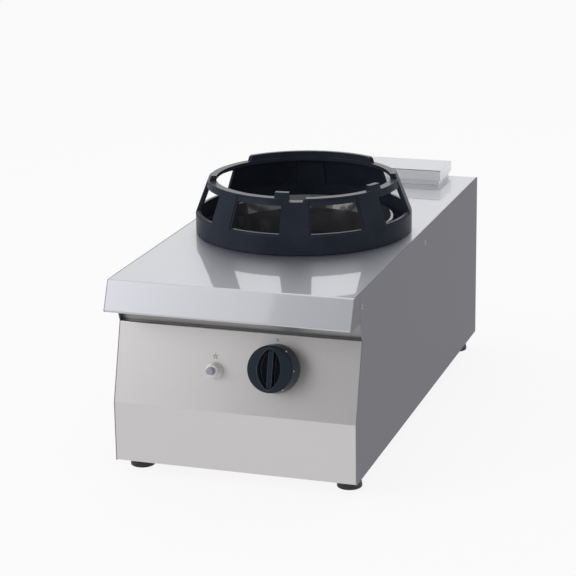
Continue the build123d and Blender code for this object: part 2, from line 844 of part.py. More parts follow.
# Burner crown: a ring that drops into the chamber's mouth, with flame slots cut in its outer and
# inner top edges.
crown_top = burner_top + crown_height - cap_thickness
crown_foot = burner_top - crown_spigot
spigot_radius = chamber_radius - lift_clearance
with BuildPart() as burner_crown:
    with BuildSketch(ring_section(0)):
        with BuildLine():
            Polyline(
                (crown_inner_radius, crown_foot),
                (crown_inner_radius + crown_wall, crown_foot),
                (crown_inner_radius + crown_wall, crown_top - slot_depth),
                (crown_inner_radius + crown_lip, crown_top),
                (crown_inner_radius, crown_top),
                close=True,
            )
        make_face()
    revolve(axis=turning_axis(ring_plane))
    with BuildSketch(ring_section(0)):
        with BuildLine():
            Polyline(
                (spigot_radius - crown_wall, crown_foot),
                (spigot_radius, crown_foot),
                (spigot_radius, burner_top),
                (burner_radius, burner_top),
                (crown_radius, burner_top + crown_bevel),
                (crown_radius, crown_top - slot_depth),
                (crown_radius - crown_bevel, crown_top),
                (crown_radius - crown_bevel - crown_lip, crown_top),
                (crown_radius - crown_bevel - crown_lip - crown_wall, burner_top + crown_bevel),
                (spigot_radius - crown_wall, burner_top),
                close=True,
            )
        make_face()
    revolve(axis=turning_axis(ring_plane))
    # Four webs join the inner ring to the outer one.
    with BuildSketch(ring_plane.offset(crown_foot)):
        with PolarLocations((crown_inner_radius + spigot_radius) / 2, 4):
            Rectangle(spigot_radius - crown_inner_radius - crown_wall, crown_web)
    extrude(amount=2 * crown_spigot)
    # The cap closes these slots from above, which leaves the flame ports.
    with BuildSketch(ring_plane.offset(crown_top)):
        with PolarLocations(crown_radius - crown_bevel, crown_slots):
            Rectangle(3 * crown_lip, slot_width)
        with PolarLocations(crown_inner_radius + crown_lip / 2, crown_inner_slots):
            Rectangle(2 * crown_lip, slot_width)
    extrude(amount=-slot_depth, mode=Mode.SUBTRACT)
burner_crown.part.label = "burner_crown"
export_step(burner_crown.part, "parts/burner_crown.step")

# Burner cap: the flat ring that closes the crown's top.
cap_radius = crown_radius - cap_thickness + 1
with BuildPart() as burner_cap:
    with BuildSketch(ring_section(0)):
        with BuildLine():
            Polyline(
                (crown_inner_radius, crown_top),
                (cap_radius, crown_top),
                (cap_radius, crown_top + cap_edge),
                (cap_radius - cap_bevel, crown_top + cap_thickness),
                (crown_inner_radius + cap_thickness - cap_edge, crown_top + cap_thickness),
                (crown_inner_radius, crown_top + cap_edge),
                close=True,
            )
        make_face()
    revolve(axis=turning_axis(ring_plane))
burner_cap.part.label = "burner_cap"
export_step(burner_cap.part, "parts/burner_cap.step")

# Burner bracket: a channel from side to side under the burner, its end tabs welded to the sides.
bracket_top = worktop_height + burner_bottom
with BuildPart() as burner_bracket:
    with BuildSketch(Plane.XY.offset(bracket_top)):
        with Locations((0, ring_y)):
            Rectangle(2 * side_inner_x, bracket_depth)
            with GridLocations(bolt_spacing, 1, 2, 1):
                Circle(bolt_radius + hole_play, mode=Mode.SUBTRACT)
    extrude(amount=-bracket_thickness)
    with BuildSketch(Plane.XY.offset(bracket_top)):
        for end in (-1, 1):
            with Locations((0, ring_y + end * (bracket_depth - bracket_thickness) / 2)):
                Rectangle(2 * side_inner_x, bracket_thickness)
    extrude(amount=-bracket_skirt)
    with BuildSketch(Plane.XY.offset(bracket_top)):
        for end in (-1, 1):
            with Locations((end * (side_inner_x - bracket_thickness / 2), ring_y)):
                Rectangle(bracket_thickness, bracket_depth)
    extrude(amount=-bracket_tab_height)
burner_bracket.part.label = "burner_bracket"
export_step(burner_bracket.part, "parts/burner_bracket.step")

# Burner screws: two bolts up through the bracket into the foot of the burner body.
with BuildPart() as burner_screws:
    with BuildSketch(Plane.XY.offset(bracket_top - bracket_thickness)):
        with Locations((0, ring_y)):
            with GridLocations(bolt_spacing, 1, 2, 1):
                RegularPolygon(bolt_head_radius, 6)
    extrude(amount=-bolt_head_height)
    with BuildSketch(Plane.XY.offset(bracket_top - bracket_thickness)):
        with Locations((0, ring_y)):
            with GridLocations(bolt_spacing, 1, 2, 1):
                Circle(bolt_radius)
    extrude(amount=bracket_thickness + burner_wall - 2 * bolt_hole_margin)
burner_screws.part.label = "burner_screws"
export_step(burner_screws.part, "parts/burner_screws.step")

# Mixer tube: flanged at the burner, a narrow throat, and a ported drum at the mouth, closed by an
# end wall that holds the injector.
mixer_end = mixer_start + mixer_length
drum_start = mixer_end - drum_length
with BuildPart() as mixer_tube:
    with BuildSketch(turning_plane(mixer_plane)):
        with BuildLine():
            Polyline(
                (mixer_bore, mixer_start),
                (mixer_flange_radius, mixer_start),
                (mixer_flange_radius, mixer_start + mixer_flange_thickness),
                (mixer_radius, mixer_start + mixer_flange_thickness),
                (mixer_radius, drum_start - drum_taper),
                (drum_radius, drum_start),
                (drum_radius, mixer_end),
                (holder_radius + hole_play, mixer_end),
                (holder_radius + hole_play, mixer_end - drum_wall),
                (drum_radius - drum_wall, mixer_end - drum_wall),
                (drum_radius - drum_wall, drum_start + drum_wall),
                (mixer_bore, drum_start + drum_wall - drum_taper),
                close=True,
            )
        make_face()
    revolve(axis=turning_axis(mixer_plane))
    with BuildSketch(mixer_plane.offset(mixer_end - air_port_offset)):
        Rectangle(3 * drum_radius, air_port)
        Rectangle(air_port, 3 * drum_radius)
    extrude(amount=-air_port, mode=Mode.SUBTRACT)
mixer_tube.part.label = "mixer_tube"
export_step(mixer_tube.part, "parts/mixer_tube.step")

# Air shutter: a sleeve that slides on the drum over its four air ports.
shutter_start = drum_start + edge_gap
with BuildPart() as air_shutter:
    with BuildSketch(mixer_plane.offset(shutter_start)):
        Circle(drum_radius + running_gap + shutter_wall)
        Circle(drum_radius + running_gap, mode=Mode.SUBTRACT)
    extrude(amount=shutter_length)
air_shutter.part.label = "air_shutter"
export_step(air_shutter.part, "parts/air_shutter.step")

# Injector holder: the turned brass elbow end that the feed pipe screws into, shouldered on the
# drum's end wall.
holder_end = mixer_end + holder_tail
with BuildPart() as injector_holder:
    with BuildSketch(turning_plane(mixer_plane)):
        with BuildLine():
            Polyline(
                (holder_bore, mixer_end - holder_nose),
                (holder_radius, mixer_end - holder_nose),
                (holder_radius, mixer_end),
                (holder_radius + holder_shoulder, mixer_end),
                (holder_radius + holder_shoulder, mixer_end + holder_shoulder_length),
                (holder_radius, mixer_end + holder_shoulder_length),
                (holder_radius, holder_end),
                (holder_bore, holder_end),
                close=True,
            )
        make_face()
    revolve(axis=turning_axis(mixer_plane))
injector_holder.part.label = "injector_holder"
export_step(injector_holder.part, "parts/injector_holder.step")

# Injector: the small brass jet on the holder's nose, with its fine orifice.
jet_foot = mixer_end - holder_nose
with BuildPart() as injector:
    with BuildSketch(turning_plane(mixer_plane)):
        with BuildLine():
            Polyline(
                (jet_orifice, jet_foot - jet_length),
                (jet_tip_radius, jet_foot - jet_length),
                (jet_radius, jet_foot - jet_length + jet_tip_length),
                (jet_radius, jet_foot),
                (jet_orifice, jet_foot),
                close=True,
            )
        make_face()
    revolve(axis=turning_axis(mixer_plane))
injector.part.label = "injector"
export_step(injector.part, "parts/injector.step")


# ================================================================ pilot group

# Pilot bracket: a small plate under the burner's flange that carries pilot, probe and electrode.
pilot_bracket_top = worktop_height + bowl_underside - burner_flange_thickness
pilot_plate = 2
pilot_post_radius = 5
probe_radius = 3.2
ceramic_radius = 4
post_shoulder = 1.5
post_shoulder_length = 12
lead_socket = 4
plate_margin = 9
plate_inner = burner_radius + 2
plate_overhang = 12
plate_outer = pilot_radius + plate_overhang
with BuildPart() as pilot_bracket:
    plate_centre = beside_burner((plate_inner + plate_outer) / 2, 0, pilot_bracket_top)
    with BuildSketch(Plane(origin=plate_centre, x_dir=pilot_plane.x_dir, z_dir=(0, 0, 1))):
        Rectangle(2 * pilot_spacing + 2 * plate_margin, plate_outer - plate_inner)
        with Locations((0, (plate_inner + plate_outer) / 2 - pilot_radius)):
            Circle(pilot_post_radius + hole_play, mode=Mode.SUBTRACT)
        with Locations((pilot_spacing, (plate_inner + plate_outer) / 2 - pilot_radius)):
            Circle(probe_radius + hole_play, mode=Mode.SUBTRACT)
        with Locations((-pilot_spacing, (plate_inner + plate_outer) / 2 - pilot_radius)):
            Circle(ceramic_radius + hole_play, mode=Mode.SUBTRACT)
    extrude(amount=-pilot_plate)
pilot_bracket.part.label = "pilot_bracket"
export_step(pilot_bracket.part, "parts/pilot_bracket.step")

# Pilot burner: a hooded brass tube beside the crown, shouldered under the plate.
post_bottom = pilot_bracket_top - pilot_plate - post_shoulder_length
pilot_top = worktop_height + crown_top - 2
pilot_height = pilot_top - post_bottom
hood_slot_width = 4
hood_slot_height = 5
hood_thickness = 3


def post_plane(sideways):
    """Upright plane at one of the three posts of the pilot group, at their lower ends."""
    return Plane(origin=beside_burner(pilot_radius, sideways, post_bottom), x_dir=(1, 0, 0), z_dir=(0, 0, 1))


with BuildPart() as pilot_burner:
    with BuildSketch(turning_plane(post_plane(0))):
        with BuildLine():
            Polyline(
                (pilot_pipe_radius + hole_play, 0),
                (pilot_post_radius + post_shoulder, 0),
                (pilot_post_radius + post_shoulder, post_shoulder_length),
                (pilot_post_radius, post_shoulder_length),
                (pilot_post_radius, pilot_height),
                (pilot_post_radius - pilot_plate, pilot_height),
                (pilot_post_radius - pilot_plate, post_shoulder_length),
                (pilot_pipe_radius + hole_play, post_shoulder_length),
                close=True,
            )
        make_face()
    revolve(axis=turning_axis(post_plane(0)))
    with BuildSketch(post_plane(0).offset(pilot_height - hood_thickness)):
        Rectangle(hood_slot_width, 4 * pilot_post_radius)
    extrude(amount=-hood_slot_height, mode=Mode.SUBTRACT)
pilot_burner.part.label = "pilot_burner"
export_step(pilot_burner.part, "parts/pilot_burner.step")

# Thermocouple: a slim probe with a collar under the plate and its lead's socket below.
with BuildPart() as thermocouple:
    with BuildSketch(turning_plane(post_plane(pilot_spacing))):
        with BuildLine():
            Polyline(
                (0, lead_socket),
                (thermo_lead_radius + hole_play, lead_socket),
                (thermo_lead_radius + hole_play, 0),
                (probe_radius + post_shoulder, 0),
                (probe_radius + post_shoulder, post_shoulder_length),
                (probe_radius, post_shoulder_length),
                (probe_radius, pilot_height - probe_radius),
                (0, pilot_height),
                close=True,
            )
        make_face()
    revolve(axis=turning_axis(post_plane(pilot_spacing)))
thermocouple.part.label = "thermocouple"
export_step(thermocouple.part, "parts/thermocouple.step")

# Spark electrode: a ceramic post and the wire tip that stands out of it.
ceramic_height = pilot_height - 12
wire_radius = 1
wire_tip = 10
with BuildPart() as spark_ceramic:
    with BuildSketch(turning_plane(post_plane(-pilot_spacing))):
        with BuildLine():
            Polyline(
                (wire_radius, lead_socket),
                (ignition_lead_radius + hole_play, lead_socket),
                (ignition_lead_radius + hole_play, 0),
                (ceramic_radius + post_shoulder, 0),
                (ceramic_radius + post_shoulder, post_shoulder_length),
                (ceramic_radius, post_shoulder_length),
                (ceramic_radius, ceramic_height),
                (wire_radius, ceramic_height),
                close=True,
            )
        make_face()
    revolve(axis=turning_axis(post_plane(-pilot_spacing)))
spark_ceramic.part.label = "spark_ceramic"
export_step(spark_ceramic.part, "parts/spark_ceramic.step")

with BuildPart() as spark_wire:
    with BuildSketch(post_plane(-pilot_spacing).offset(lead_socket)):
        Circle(wire_radius)
    extrude(amount=ceramic_height + wire_tip - lead_socket)
spark_wire.part.label = "spark_wire"
export_step(spark_wire.part, "parts/spark_wire.step")


# ================================================================ gas tap

# Heights here are along the panel's outward normal at the knob, so what is inside is negative.
bonnet_depth = 14
bonnet_thickness = 4
bonnet_neck_radius = 7.8
gas_way_radius = 2.5
tap_end = 58
tap_radius = 15
plug_front_radius = 9
plug_back_radius = 7
plug_front = 20
plug_back = 50
magnet_end = 80
pin_radius = 2
pin_bore = 2.3
pin_length = 19.5
inlet_boss_radius = 9
outlet_boss_radius = 8
outlet_boss_length = 12
pilot_boss_radius = 5
pilot_boss_depth = 32
boss_length = 12
boss_root = 4

# Tap body: a turned forging with a tapered bore for the plug, an inlet boss that stands on the
# manifold saddle, an outlet boss above and a pilot outlet at the left.
with BuildPart() as tap_body:
    with BuildSketch(turning_plane(knob_plane)):
        with BuildLine():
            Polyline(
                (spindle_radius + running_gap, -bonnet_depth - bonnet_thickness),
                (tap_radius, -bonnet_depth - bonnet_thickness),
                (tap_radius, -tap_end),
                (pin_bore, -tap_end),
                (pin_bore, -plug_back),
                (plug_back_radius, -plug_back),
                (plug_front_radius, -plug_front),
                (spindle_radius + running_gap, -plug_front),
                close=True,
            )
        make_face()
    revolve(axis=turning_axis(knob_plane))
    boss_plane = Plane(
        origin=knob_plane.origin - knob_plane.z_dir * manifold_depth, x_dir=(1, 0, 0), z_dir=knob_plane.y_dir
    )
    with BuildSketch(boss_plane.offset(tap_radius - boss_root)):
        Circle(outlet_boss_radius)
    extrude(amount=outlet_boss_length)
    with BuildSketch(boss_plane.offset(boss_root - tap_radius)):
        Circle(inlet_boss_radius)
    extrude(amount=-(manifold_drop - pipe_radius - saddle_wall - tap_radius + boss_root))
    with BuildSketch(boss_plane.offset(tap_radius)):
        Circle(feed_pipe_radius + hole_play)
    extrude(amount=tap_radius, mode=Mode.SUBTRACT)
    with BuildSketch(boss_plane):
        Circle(gas_way_radius)
    extrude(amount=tap_radius, both=True, mode=Mode.SUBTRACT)
    pilot_out_plane = Plane(
        origin=knob_plane.origin - knob_plane.z_dir * pilot_boss_depth,
        x_dir=knob_plane.y_dir,
        z_dir=(-1, 0, 0),
    )
    with BuildSketch(pilot_out_plane.offset(tap_radius - boss_root)):
        Circle(pilot_boss_radius)
    extrude(amount=boss_length)
    with BuildSketch(pilot_out_plane.offset(tap_radius + 1)):
        Circle(pilot_pipe_radius + hole_play)
    extrude(amount=boss_length, mode=Mode.SUBTRACT)
tap_body.part.label = "tap_body"
export_step(tap_body.part, "parts/tap_body.step")

# Tap bonnet: the plate that keeps the plug in, fixed by two screws. Its neck bears on the back
# of the panel round the spindle hole.
bonnet_screw_spacing = 22
bonnet_screw_radius = 1.5
bonnet_screw_head = 2.8
bonnet_head_height = 2
with BuildPart() as tap_bonnet:
    with BuildSketch(knob_plane.offset(-bonnet_depth)):
        Circle(tap_radius)
        Circle(spindle_radius + running_gap, mode=Mode.SUBTRACT)
        with GridLocations(bonnet_screw_spacing, 1, 2, 1):
            Circle(bonnet_screw_radius + hole_play, mode=Mode.SUBTRACT)
    extrude(amount=-bonnet_thickness)
    with BuildSketch(knob_plane.offset(-sheet)):
        Circle(bonnet_neck_radius)
        Circle(spindle_radius + running_gap, mode=Mode.SUBTRACT)
    extrude(amount=sheet - bonnet_depth)
tap_bonnet.part.label = "tap_bonnet"
export_step(tap_bonnet.part, "parts/tap_bonnet.step")

with BuildPart() as tap_screws:
    with BuildSketch(knob_plane.offset(-bonnet_depth)):
        with GridLocations(bonnet_screw_spacing, 1, 2, 1):
            Circle(bonnet_screw_head)
    extrude(amount=bonnet_head_height)
    with BuildSketch(knob_plane.offset(-bonnet_depth)):
        with GridLocations(bonnet_screw_spacing, 1, 2, 1):
            Circle(bonnet_screw_radius)
    extrude(amount=-bonnet_thickness)
tap_screws.part.label = "tap_screws"
export_step(tap_screws.part, "parts/tap_screws.step")

# Tap plug: the tapered cock that turns with the spindle and lets the gas through.
with BuildPart() as tap_plug:
    with BuildSketch(turning_plane(knob_plane)):
        with BuildLine():
            Polyline(
                (spindle_radius + running_gap, -plug_front - lift_clearance),
                (plug_front_radius - running_gap, -plug_front - lift_clearance),
                (plug_back_radius - running_gap, -plug_back + lift_clearance),
                (spindle_radius + running_gap, -plug_back + lift_clearance),
                close=True,
            )
        make_face()
    revolve(axis=turning_axis(knob_plane))
tap_plug.part.label = "tap_plug"
export_step(tap_plug.part, "parts/tap_plug.step")

# Tap spindle: the steel rod from the knob's bush through bonnet and plug, flatted at its end.
spindle_out = 16
spindle_flat_start = 8
spindle_flat_depth = 1
spindle_in = plug_back - push_travel - 1
with BuildPart() as tap_spindle:
    with BuildSketch(knob_plane.offset(-spindle_in)):
        Circle(spindle_radius)
    extrude(amount=spindle_in + spindle_out)
    with BuildSketch(knob_plane.offset(spindle_flat_start)):
        with Locations((0, spindle_radius)):
            Rectangle(2 * spindle_radius, 2 * spindle_flat_depth)
    extrude(amount=spindle_out, mode=Mode.SUBTRACT)
tap_spindle.part.label = "tap_spindle"
export_step(tap_spindle.part, "parts/tap_spindle.step")

# Thrust pin: pushed by the spindle to lift the flame-failure valve off its seat.
with BuildPart() as thrust_pin:
    with BuildSketch(knob_plane.offset(-spindle_in)):
        Circle(pin_radius)
    extrude(amount=-pin_length)
thrust_pin.part.label = "thrust_pin"
export_step(thrust_pin.part, "parts/thrust_pin.step")

# Magnet unit: the capped housing at the tap's end, with room for the pin's travel and a socket
# for the thermocouple lead.
magnet_radius = 11
magnet_back_radius = 9
magnet_shoulder = 8
pin_stroke_end = spindle_in + pin_length + push_travel + 1
with BuildPart() as magnet_unit:
    with BuildSketch(turning_plane(knob_plane)):
        with BuildLine():
            Polyline(
                (pin_bore, -tap_end),
                (magnet_radius, -tap_end),
                (magnet_radius, -tap_end - magnet_shoulder),
                (magnet_back_radius, -tap_end - magnet_shoulder - 2),
                (magnet_back_radius, -magnet_end),
                (thermo_lead_radius + hole_play, -magnet_end),
                (thermo_lead_radius + hole_play, -magnet_end + lead_socket),
                (0, -magnet_end + lead_socket),
                (0, -pin_stroke_end),
                (pin_bore, -pin_stroke_end),
                close=True,
            )
        make_face()
    revolve(axis=turning_axis(knob_plane))
magnet_unit.part.label = "magnet_unit"
export_step(magnet_unit.part, "parts/magnet_unit.step")


# ================================================================ knob

# Knob: a deep round cap whose face has a pointed oval hollow with an upright blade left in it.
lens_radius = (grip_half_width**2 + grip_half_length**2) / (2 * grip_half_width)
lens_shift = lens_radius - grip_half_width
with BuildPart() as knob:
    with BuildSketch(turning_plane(knob_plane)):
        with BuildLine():
            FilletPolyline(
                (knob_radius, knob_gap),
                (knob_radius, knob_skirt_height),
                (knob_radius - knob_taper, knob_shoulder_height),
                (0, knob_height),
                radius=knob_corner_radius,
            )
            Polyline(
                (0, knob_height),
                (0, grip_floor - knob_wall),
                (knob_radius - 2 * knob_wall, grip_floor - knob_wall),
                (knob_radius - knob_wall, knob_gap),
                (knob_radius, knob_gap),
            )
        make_face()
    revolve(axis=turning_axis(knob_plane))
    with BuildSketch(knob_plane.offset(knob_gap)):
        Circle(knob_bush_radius + knob_wall)
    extrude(amount=grip_floor - knob_wall - knob_gap)
    with BuildSketch(knob_plane.offset(grip_floor)):
        with Locations((-lens_shift, 0)):
            Circle(lens_radius)
        with Locations((lens_shift, 0)):
            Circle(lens_radius, mode=Mode.INTERSECT)
        Rectangle(grip_blade, 2 * grip_half_length, mode=Mode.SUBTRACT)
    extrude(amount=knob_height - grip_floor, mode=Mode.SUBTRACT)
    with BuildSketch(knob_plane.offset(grip_crest)):
        with Locations((-lens_shift, 0)):
            Circle(lens_radius)
        with Locations((lens_shift, 0)):
            Circle(lens_radius, mode=Mode.INTERSECT)
    extrude(amount=knob_height - grip_crest, mode=Mode.SUBTRACT)
    with BuildSketch(knob_plane.offset(knob_gap)):
        Circle(knob_bush_radius)
    extrude(amount=spindle_out - knob_gap, mode=Mode.SUBTRACT)
knob.part.label = "knob"
export_step(knob.part, "parts/knob.step")

# Knob bush: the metal sleeve in the knob that grips the flatted spindle.
with BuildPart() as knob_bush:
    with BuildSketch(knob_plane.offset(knob_gap)):
        Circle(knob_bush_radius)
        Circle(spindle_radius, mode=Mode.SUBTRACT)
    extrude(amount=spindle_out - knob_gap)
knob_bush.part.label = "knob_bush"
export_step(knob_bush.part, "parts/knob_bush.step")


# ================================================================ igniter

# Igniter bezel: the pale stepped collar on the panel's face.
button_bore = button_radius + hole_play
bezel_step = 1.5
bezel_edge = 2
with BuildPart() as igniter_bezel:
    with BuildSketch(turning_plane(igniter_plane)):
        with BuildLine():
            Polyline(
                (button_bore, 0),
                (igniter_flange_radius, 0),
                (igniter_flange_radius, bezel_edge),
                (igniter_flange_radius - bezel_step, bezel_edge + bezel_step),
                (igniter_nose_radius, igniter_nose_height - bezel_step),
                (igniter_nose_radius - bezel_step, igniter_nose_height),
                (button_bore, igniter_nose_height),
                close=True,
            )
        make_face()
    revolve(axis=turning_axis(igniter_plane))
igniter_bezel.part.label = "igniter_bezel"
export_step(igniter_bezel.part, "parts/igniter_bezel.step")

# Igniter button: a round plunger that travels into the piezo body.
button_root = 14
button_corner_radius = 1.5
with BuildPart() as igniter_button:
    with BuildSketch(igniter_plane.offset(-button_root)):
        Circle(button_radius)
    extrude(amount=button_root + button_height)
    button_rim = igniter_button.edges().sort_by(turning_axis(igniter_plane))[-1]
    fillet(button_rim, radius=button_corner_radius)
igniter_button.part.label = "igniter_button"
export_step(igniter_button.part, "parts/igniter_button.step")

# Igniter body: the threaded barrel through the panel and the piezo housing behind it.
igniter_thread_length = 14
igniter_socket = 6
piezo_face = button_root + button_travel + 1
with BuildPart() as igniter_body:
    with BuildSketch(turning_plane(igniter_plane)):
        with BuildLine():
            Polyline(
                (button_bore, 0),
                (igniter_thread_radius, 0),
                (igniter_thread_radius, -igniter_thread_length),
                (igniter_barrel_radius, -igniter_thread_length),
                (igniter_barrel_radius, -igniter_barrel_length),
                (ignition_lead_radius + hole_play, -igniter_barrel_length),
                (ignition_lead_radius + hole_play, -igniter_barrel_length + igniter_socket),
                (0, -igniter_barrel_length + igniter_socket),
                (0, -piezo_face),
                (button_bore, -piezo_face),
                close=True,
            )
        make_face()
    revolve(axis=turning_axis(igniter_plane))
igniter_body.part.label = "igniter_body"
export_step(igniter_body.part, "parts/igniter_body.step")

# Igniter nut: clamps the barrel from behind the panel.
thin_nut_height = 5
thin_nut_wall = 5
with BuildPart() as igniter_nut:
    with BuildSketch(igniter_plane.offset(-sheet)):
        RegularPolygon(igniter_thread_radius + thin_nut_wall, 6)
        Circle(igniter_thread_radius + thread_gap, mode=Mode.SUBTRACT)
    extrude(amount=-thin_nut_height)
igniter_nut.part.label = "igniter_nut"
export_step(igniter_nut.part, "parts/igniter_nut.step")


# ================================================================ pipes and leads

# Manifold pipe: runs across behind the control panel, below the tap.
elbow_reach = elbow_radius + 3
plug_end_thickness = 4
manifold_left_x = inlet_x + elbow_reach
manifold_plane = Plane(origin=(0, manifold_centre.Y, manifold_centre.Z), x_dir=(0, 1, 0), z_dir=(1, 0, 0))
with BuildPart() as manifold_pipe:
    with BuildSketch(manifold_plane.offset(manifold_left_x)):
        Circle(pipe_radius)
        Circle(pipe_bore, mode=Mode.SUBTRACT)
    extrude(amount=manifold_right_x - manifold_left_x)
manifold_pipe.part.label = "manifold_pipe"
export_step(manifold_pipe.part, "parts/manifold_pipe.step")

# Manifold plug: the cap on the pipe's blind end.
with BuildPart() as manifold_plug:
    with BuildSketch(turning_plane(manifold_plane)):
        with BuildLine():
            Polyline(
                (0, manifold_right_x),
                (pipe_radius + hole_play, manifold_right_x),
                (pipe_radius + hole_play, manifold_right_x - socket_depth),
                (elbow_radius, manifold_right_x - socket_depth),
                (elbow_radius, manifold_right_x + plug_end_thickness),
                (0, manifold_right_x + plug_end_thickness),
                close=True,
            )
        make_face()
    revolve(axis=turning_axis(manifold_plane))
manifold_plug.part.label = "manifold_plug"
export_step(manifold_plug.part, "parts/manifold_plug.step")

# Manifold saddle: a block brazed round the pipe, with a flat top for the tap's inlet boss.
saddle_half = pipe_radius + saddle_wall
saddle_plane = Plane(origin=manifold_centre, x_dir=knob_plane.z_dir, z_dir=(1, 0, 0))
with BuildPart() as manifold_saddle:
    with BuildSketch(saddle_plane.offset(-saddle_length / 2)):
        Rectangle(2 * saddle_half, 2 * saddle_half)
        Circle(pipe_radius + thread_gap, mode=Mode.SUBTRACT)
    extrude(amount=saddle_length)
manifold_saddle.part.label = "manifold_saddle"
export_step(manifold_saddle.part, "parts/manifold_saddle.step")

# Supply elbow: joins the manifold to the pipe from the back.
inlet_plane = Plane(origin=(inlet_x, manifold_centre.Y, manifold_centre.Z), x_dir=(1, 0, 0), z_dir=(0, 1, 0))
socket_end = elbow_reach + socket_depth
with BuildPart() as supply_elbow:
    with BuildSketch(manifold_plane.offset(inlet_x - elbow_radius)):
        Circle(elbow_radius)
    extrude(amount=elbow_radius + socket_end)
    with BuildSketch(inlet_plane.offset(-elbow_radius)):
        Circle(elbow_radius)
    extrude(amount=elbow_radius + socket_end)
    with BuildSketch(manifold_plane.offset(manifold_left_x)):
        Circle(pipe_radius + hole_play)
    extrude(amount=socket_depth, mode=Mode.SUBTRACT)
    with BuildSketch(inlet_plane.offset(elbow_reach)):
        Circle(pipe_radius + hole_play)
    extrude(amount=socket_depth, mode=Mode.SUBTRACT)
    with BuildSketch(manifold_plane.offset(inlet_x)):
        Circle(pipe_bore)
    extrude(amount=socket_end, mode=Mode.SUBTRACT)
    with BuildSketch(inlet_plane):
        Circle(pipe_bore)
    extrude(amount=socket_end, mode=Mode.SUBTRACT)
supply_elbow.part.label = "supply_elbow"
export_step(supply_elbow.part, "parts/supply_elbow.step")

# Inlet pipe: runs back along the left side to the gas inlet.
inlet_hex_length = 18
inlet_length = back_panel_y - sheet - manifold_centre.Y
inlet_pipe_end = inlet_length - inlet_hex_length + socket_depth
with BuildPart() as inlet_pipe:
    with BuildSketch(inlet_plane.offset(elbow_reach)):
        Circle(pipe_radius)
        Circle(pipe_bore, mode=Mode.SUBTRACT)
    extrude(amount=inlet_pipe_end - elbow_reach)
inlet_pipe.part.label = "inlet_pipe"
export_step(inlet_pipe.part, "parts/inlet_pipe.step")

# Gas inlet: the brass fitting through the back panel, its male thread standing in the recess. A
# groove past the locknut divides the thread that holds the fitting from the one the hose takes.
inlet_hex_radius = 17.5
inlet_bore = 7
with BuildPart() as gas_inlet:
    with BuildSketch(inlet_plane.offset(inlet_length - inlet_hex_length)):
        RegularPolygon(inlet_hex_radius, 6)
    extrude(amount=inlet_hex_length)
    with BuildSketch(inlet_plane.offset(inlet_length)):
        Circle(inlet_thread_radius)
    extrude(amount=sheet + inlet_thread_length)
    with BuildSketch(inlet_plane.offset(inlet_length + sheet + thin_nut_height)):
        Circle(inlet_thread_radius)
        Circle(inlet_thread_radius - inlet_relief_depth, mode=Mode.SUBTRACT)
    extrude(amount=inlet_relief_width, mode=Mode.SUBTRACT)
    with BuildSketch(inlet_plane.offset(inlet_length - inlet_hex_length)):
        Circle(pipe_radius + hole_play)
    extrude(amount=socket_depth, mode=Mode.SUBTRACT)
    with BuildSketch(inlet_plane.offset(inlet_length - inlet_hex_length)):
        Circle(inlet_bore)
    extrude(amount=inlet_hex_length + sheet + inlet_thread_length, mode=Mode.SUBTRACT)
gas_inlet.part.label = "gas_inlet"
export_step(gas_inlet.part, "parts/gas_inlet.step")

# Inlet locknut: clamps the fitting from outside.
with BuildPart() as inlet_locknut:
    with BuildSketch(inlet_plane.offset(inlet_length + sheet)):
        RegularPolygon(inlet_thread_radius + thin_nut_wall, 6)
        Circle(inlet_thread_radius + thread_gap, mode=Mode.SUBTRACT)
    extrude(amount=thin_nut_height)
inlet_locknut.part.label = "inlet_locknut"
export_step(inlet_locknut.part, "parts/inlet_locknut.step")


# Feed pipe: from the tap's outlet up, across and back to the injector holder.
feed_pipe_wall = 1
feed_bend_radius = 14
tap_outlet = boss_plane.origin + boss_plane.z_dir * (tap_radius + 1)
feed_z = mixer_plane.origin.Z
feed_rise = (feed_z - tap_outlet.Z) / boss_plane.z_dir.Z
feed_corner = tap_outlet + boss_plane.z_dir * feed_rise
holder_face = Vector(0, mixer_plane.origin.Y - holder_end, feed_z)
with BuildPart() as feed_pipe:
    with BuildLine() as feed_line:
        FilletPolyline(
            tap_outlet,
            feed_corner,
            Vector(0, feed_corner.Y, feed_z),
            holder_face,
            radius=feed_bend_radius,
        )
    with BuildSketch(Plane(origin=tap_outlet, z_dir=boss_plane.z_dir)):
        Circle(feed_pipe_radius)
        Circle(feed_pipe_radius - feed_pipe_wall, mode=Mode.SUBTRACT)
    sweep(path=feed_line.wire())
feed_pipe.part.label = "feed_pipe"
export_step(feed_pipe.part, "parts/feed_pipe.step")

# Pipe nuts: compression nuts at both ends of the feed pipe.
pipe_nut_radius = 9
pipe_nut_length = 9
outlet_face = tap_radius - boss_root + outlet_boss_length
with BuildPart() as pipe_nuts:
    for nut_plane in (boss_plane.offset(outlet_face), mixer_plane.offset(holder_end)):
        with BuildSketch(nut_plane):
            RegularPolygon(pipe_nut_radius, 6)
            Circle(feed_pipe_radius + thread_gap, mode=Mode.SUBTRACT)
        extrude(amount=pipe_nut_length)
pipe_nuts.part.label = "pipe_nuts"
export_step(pipe_nuts.part, "parts/pipe_nuts.step")

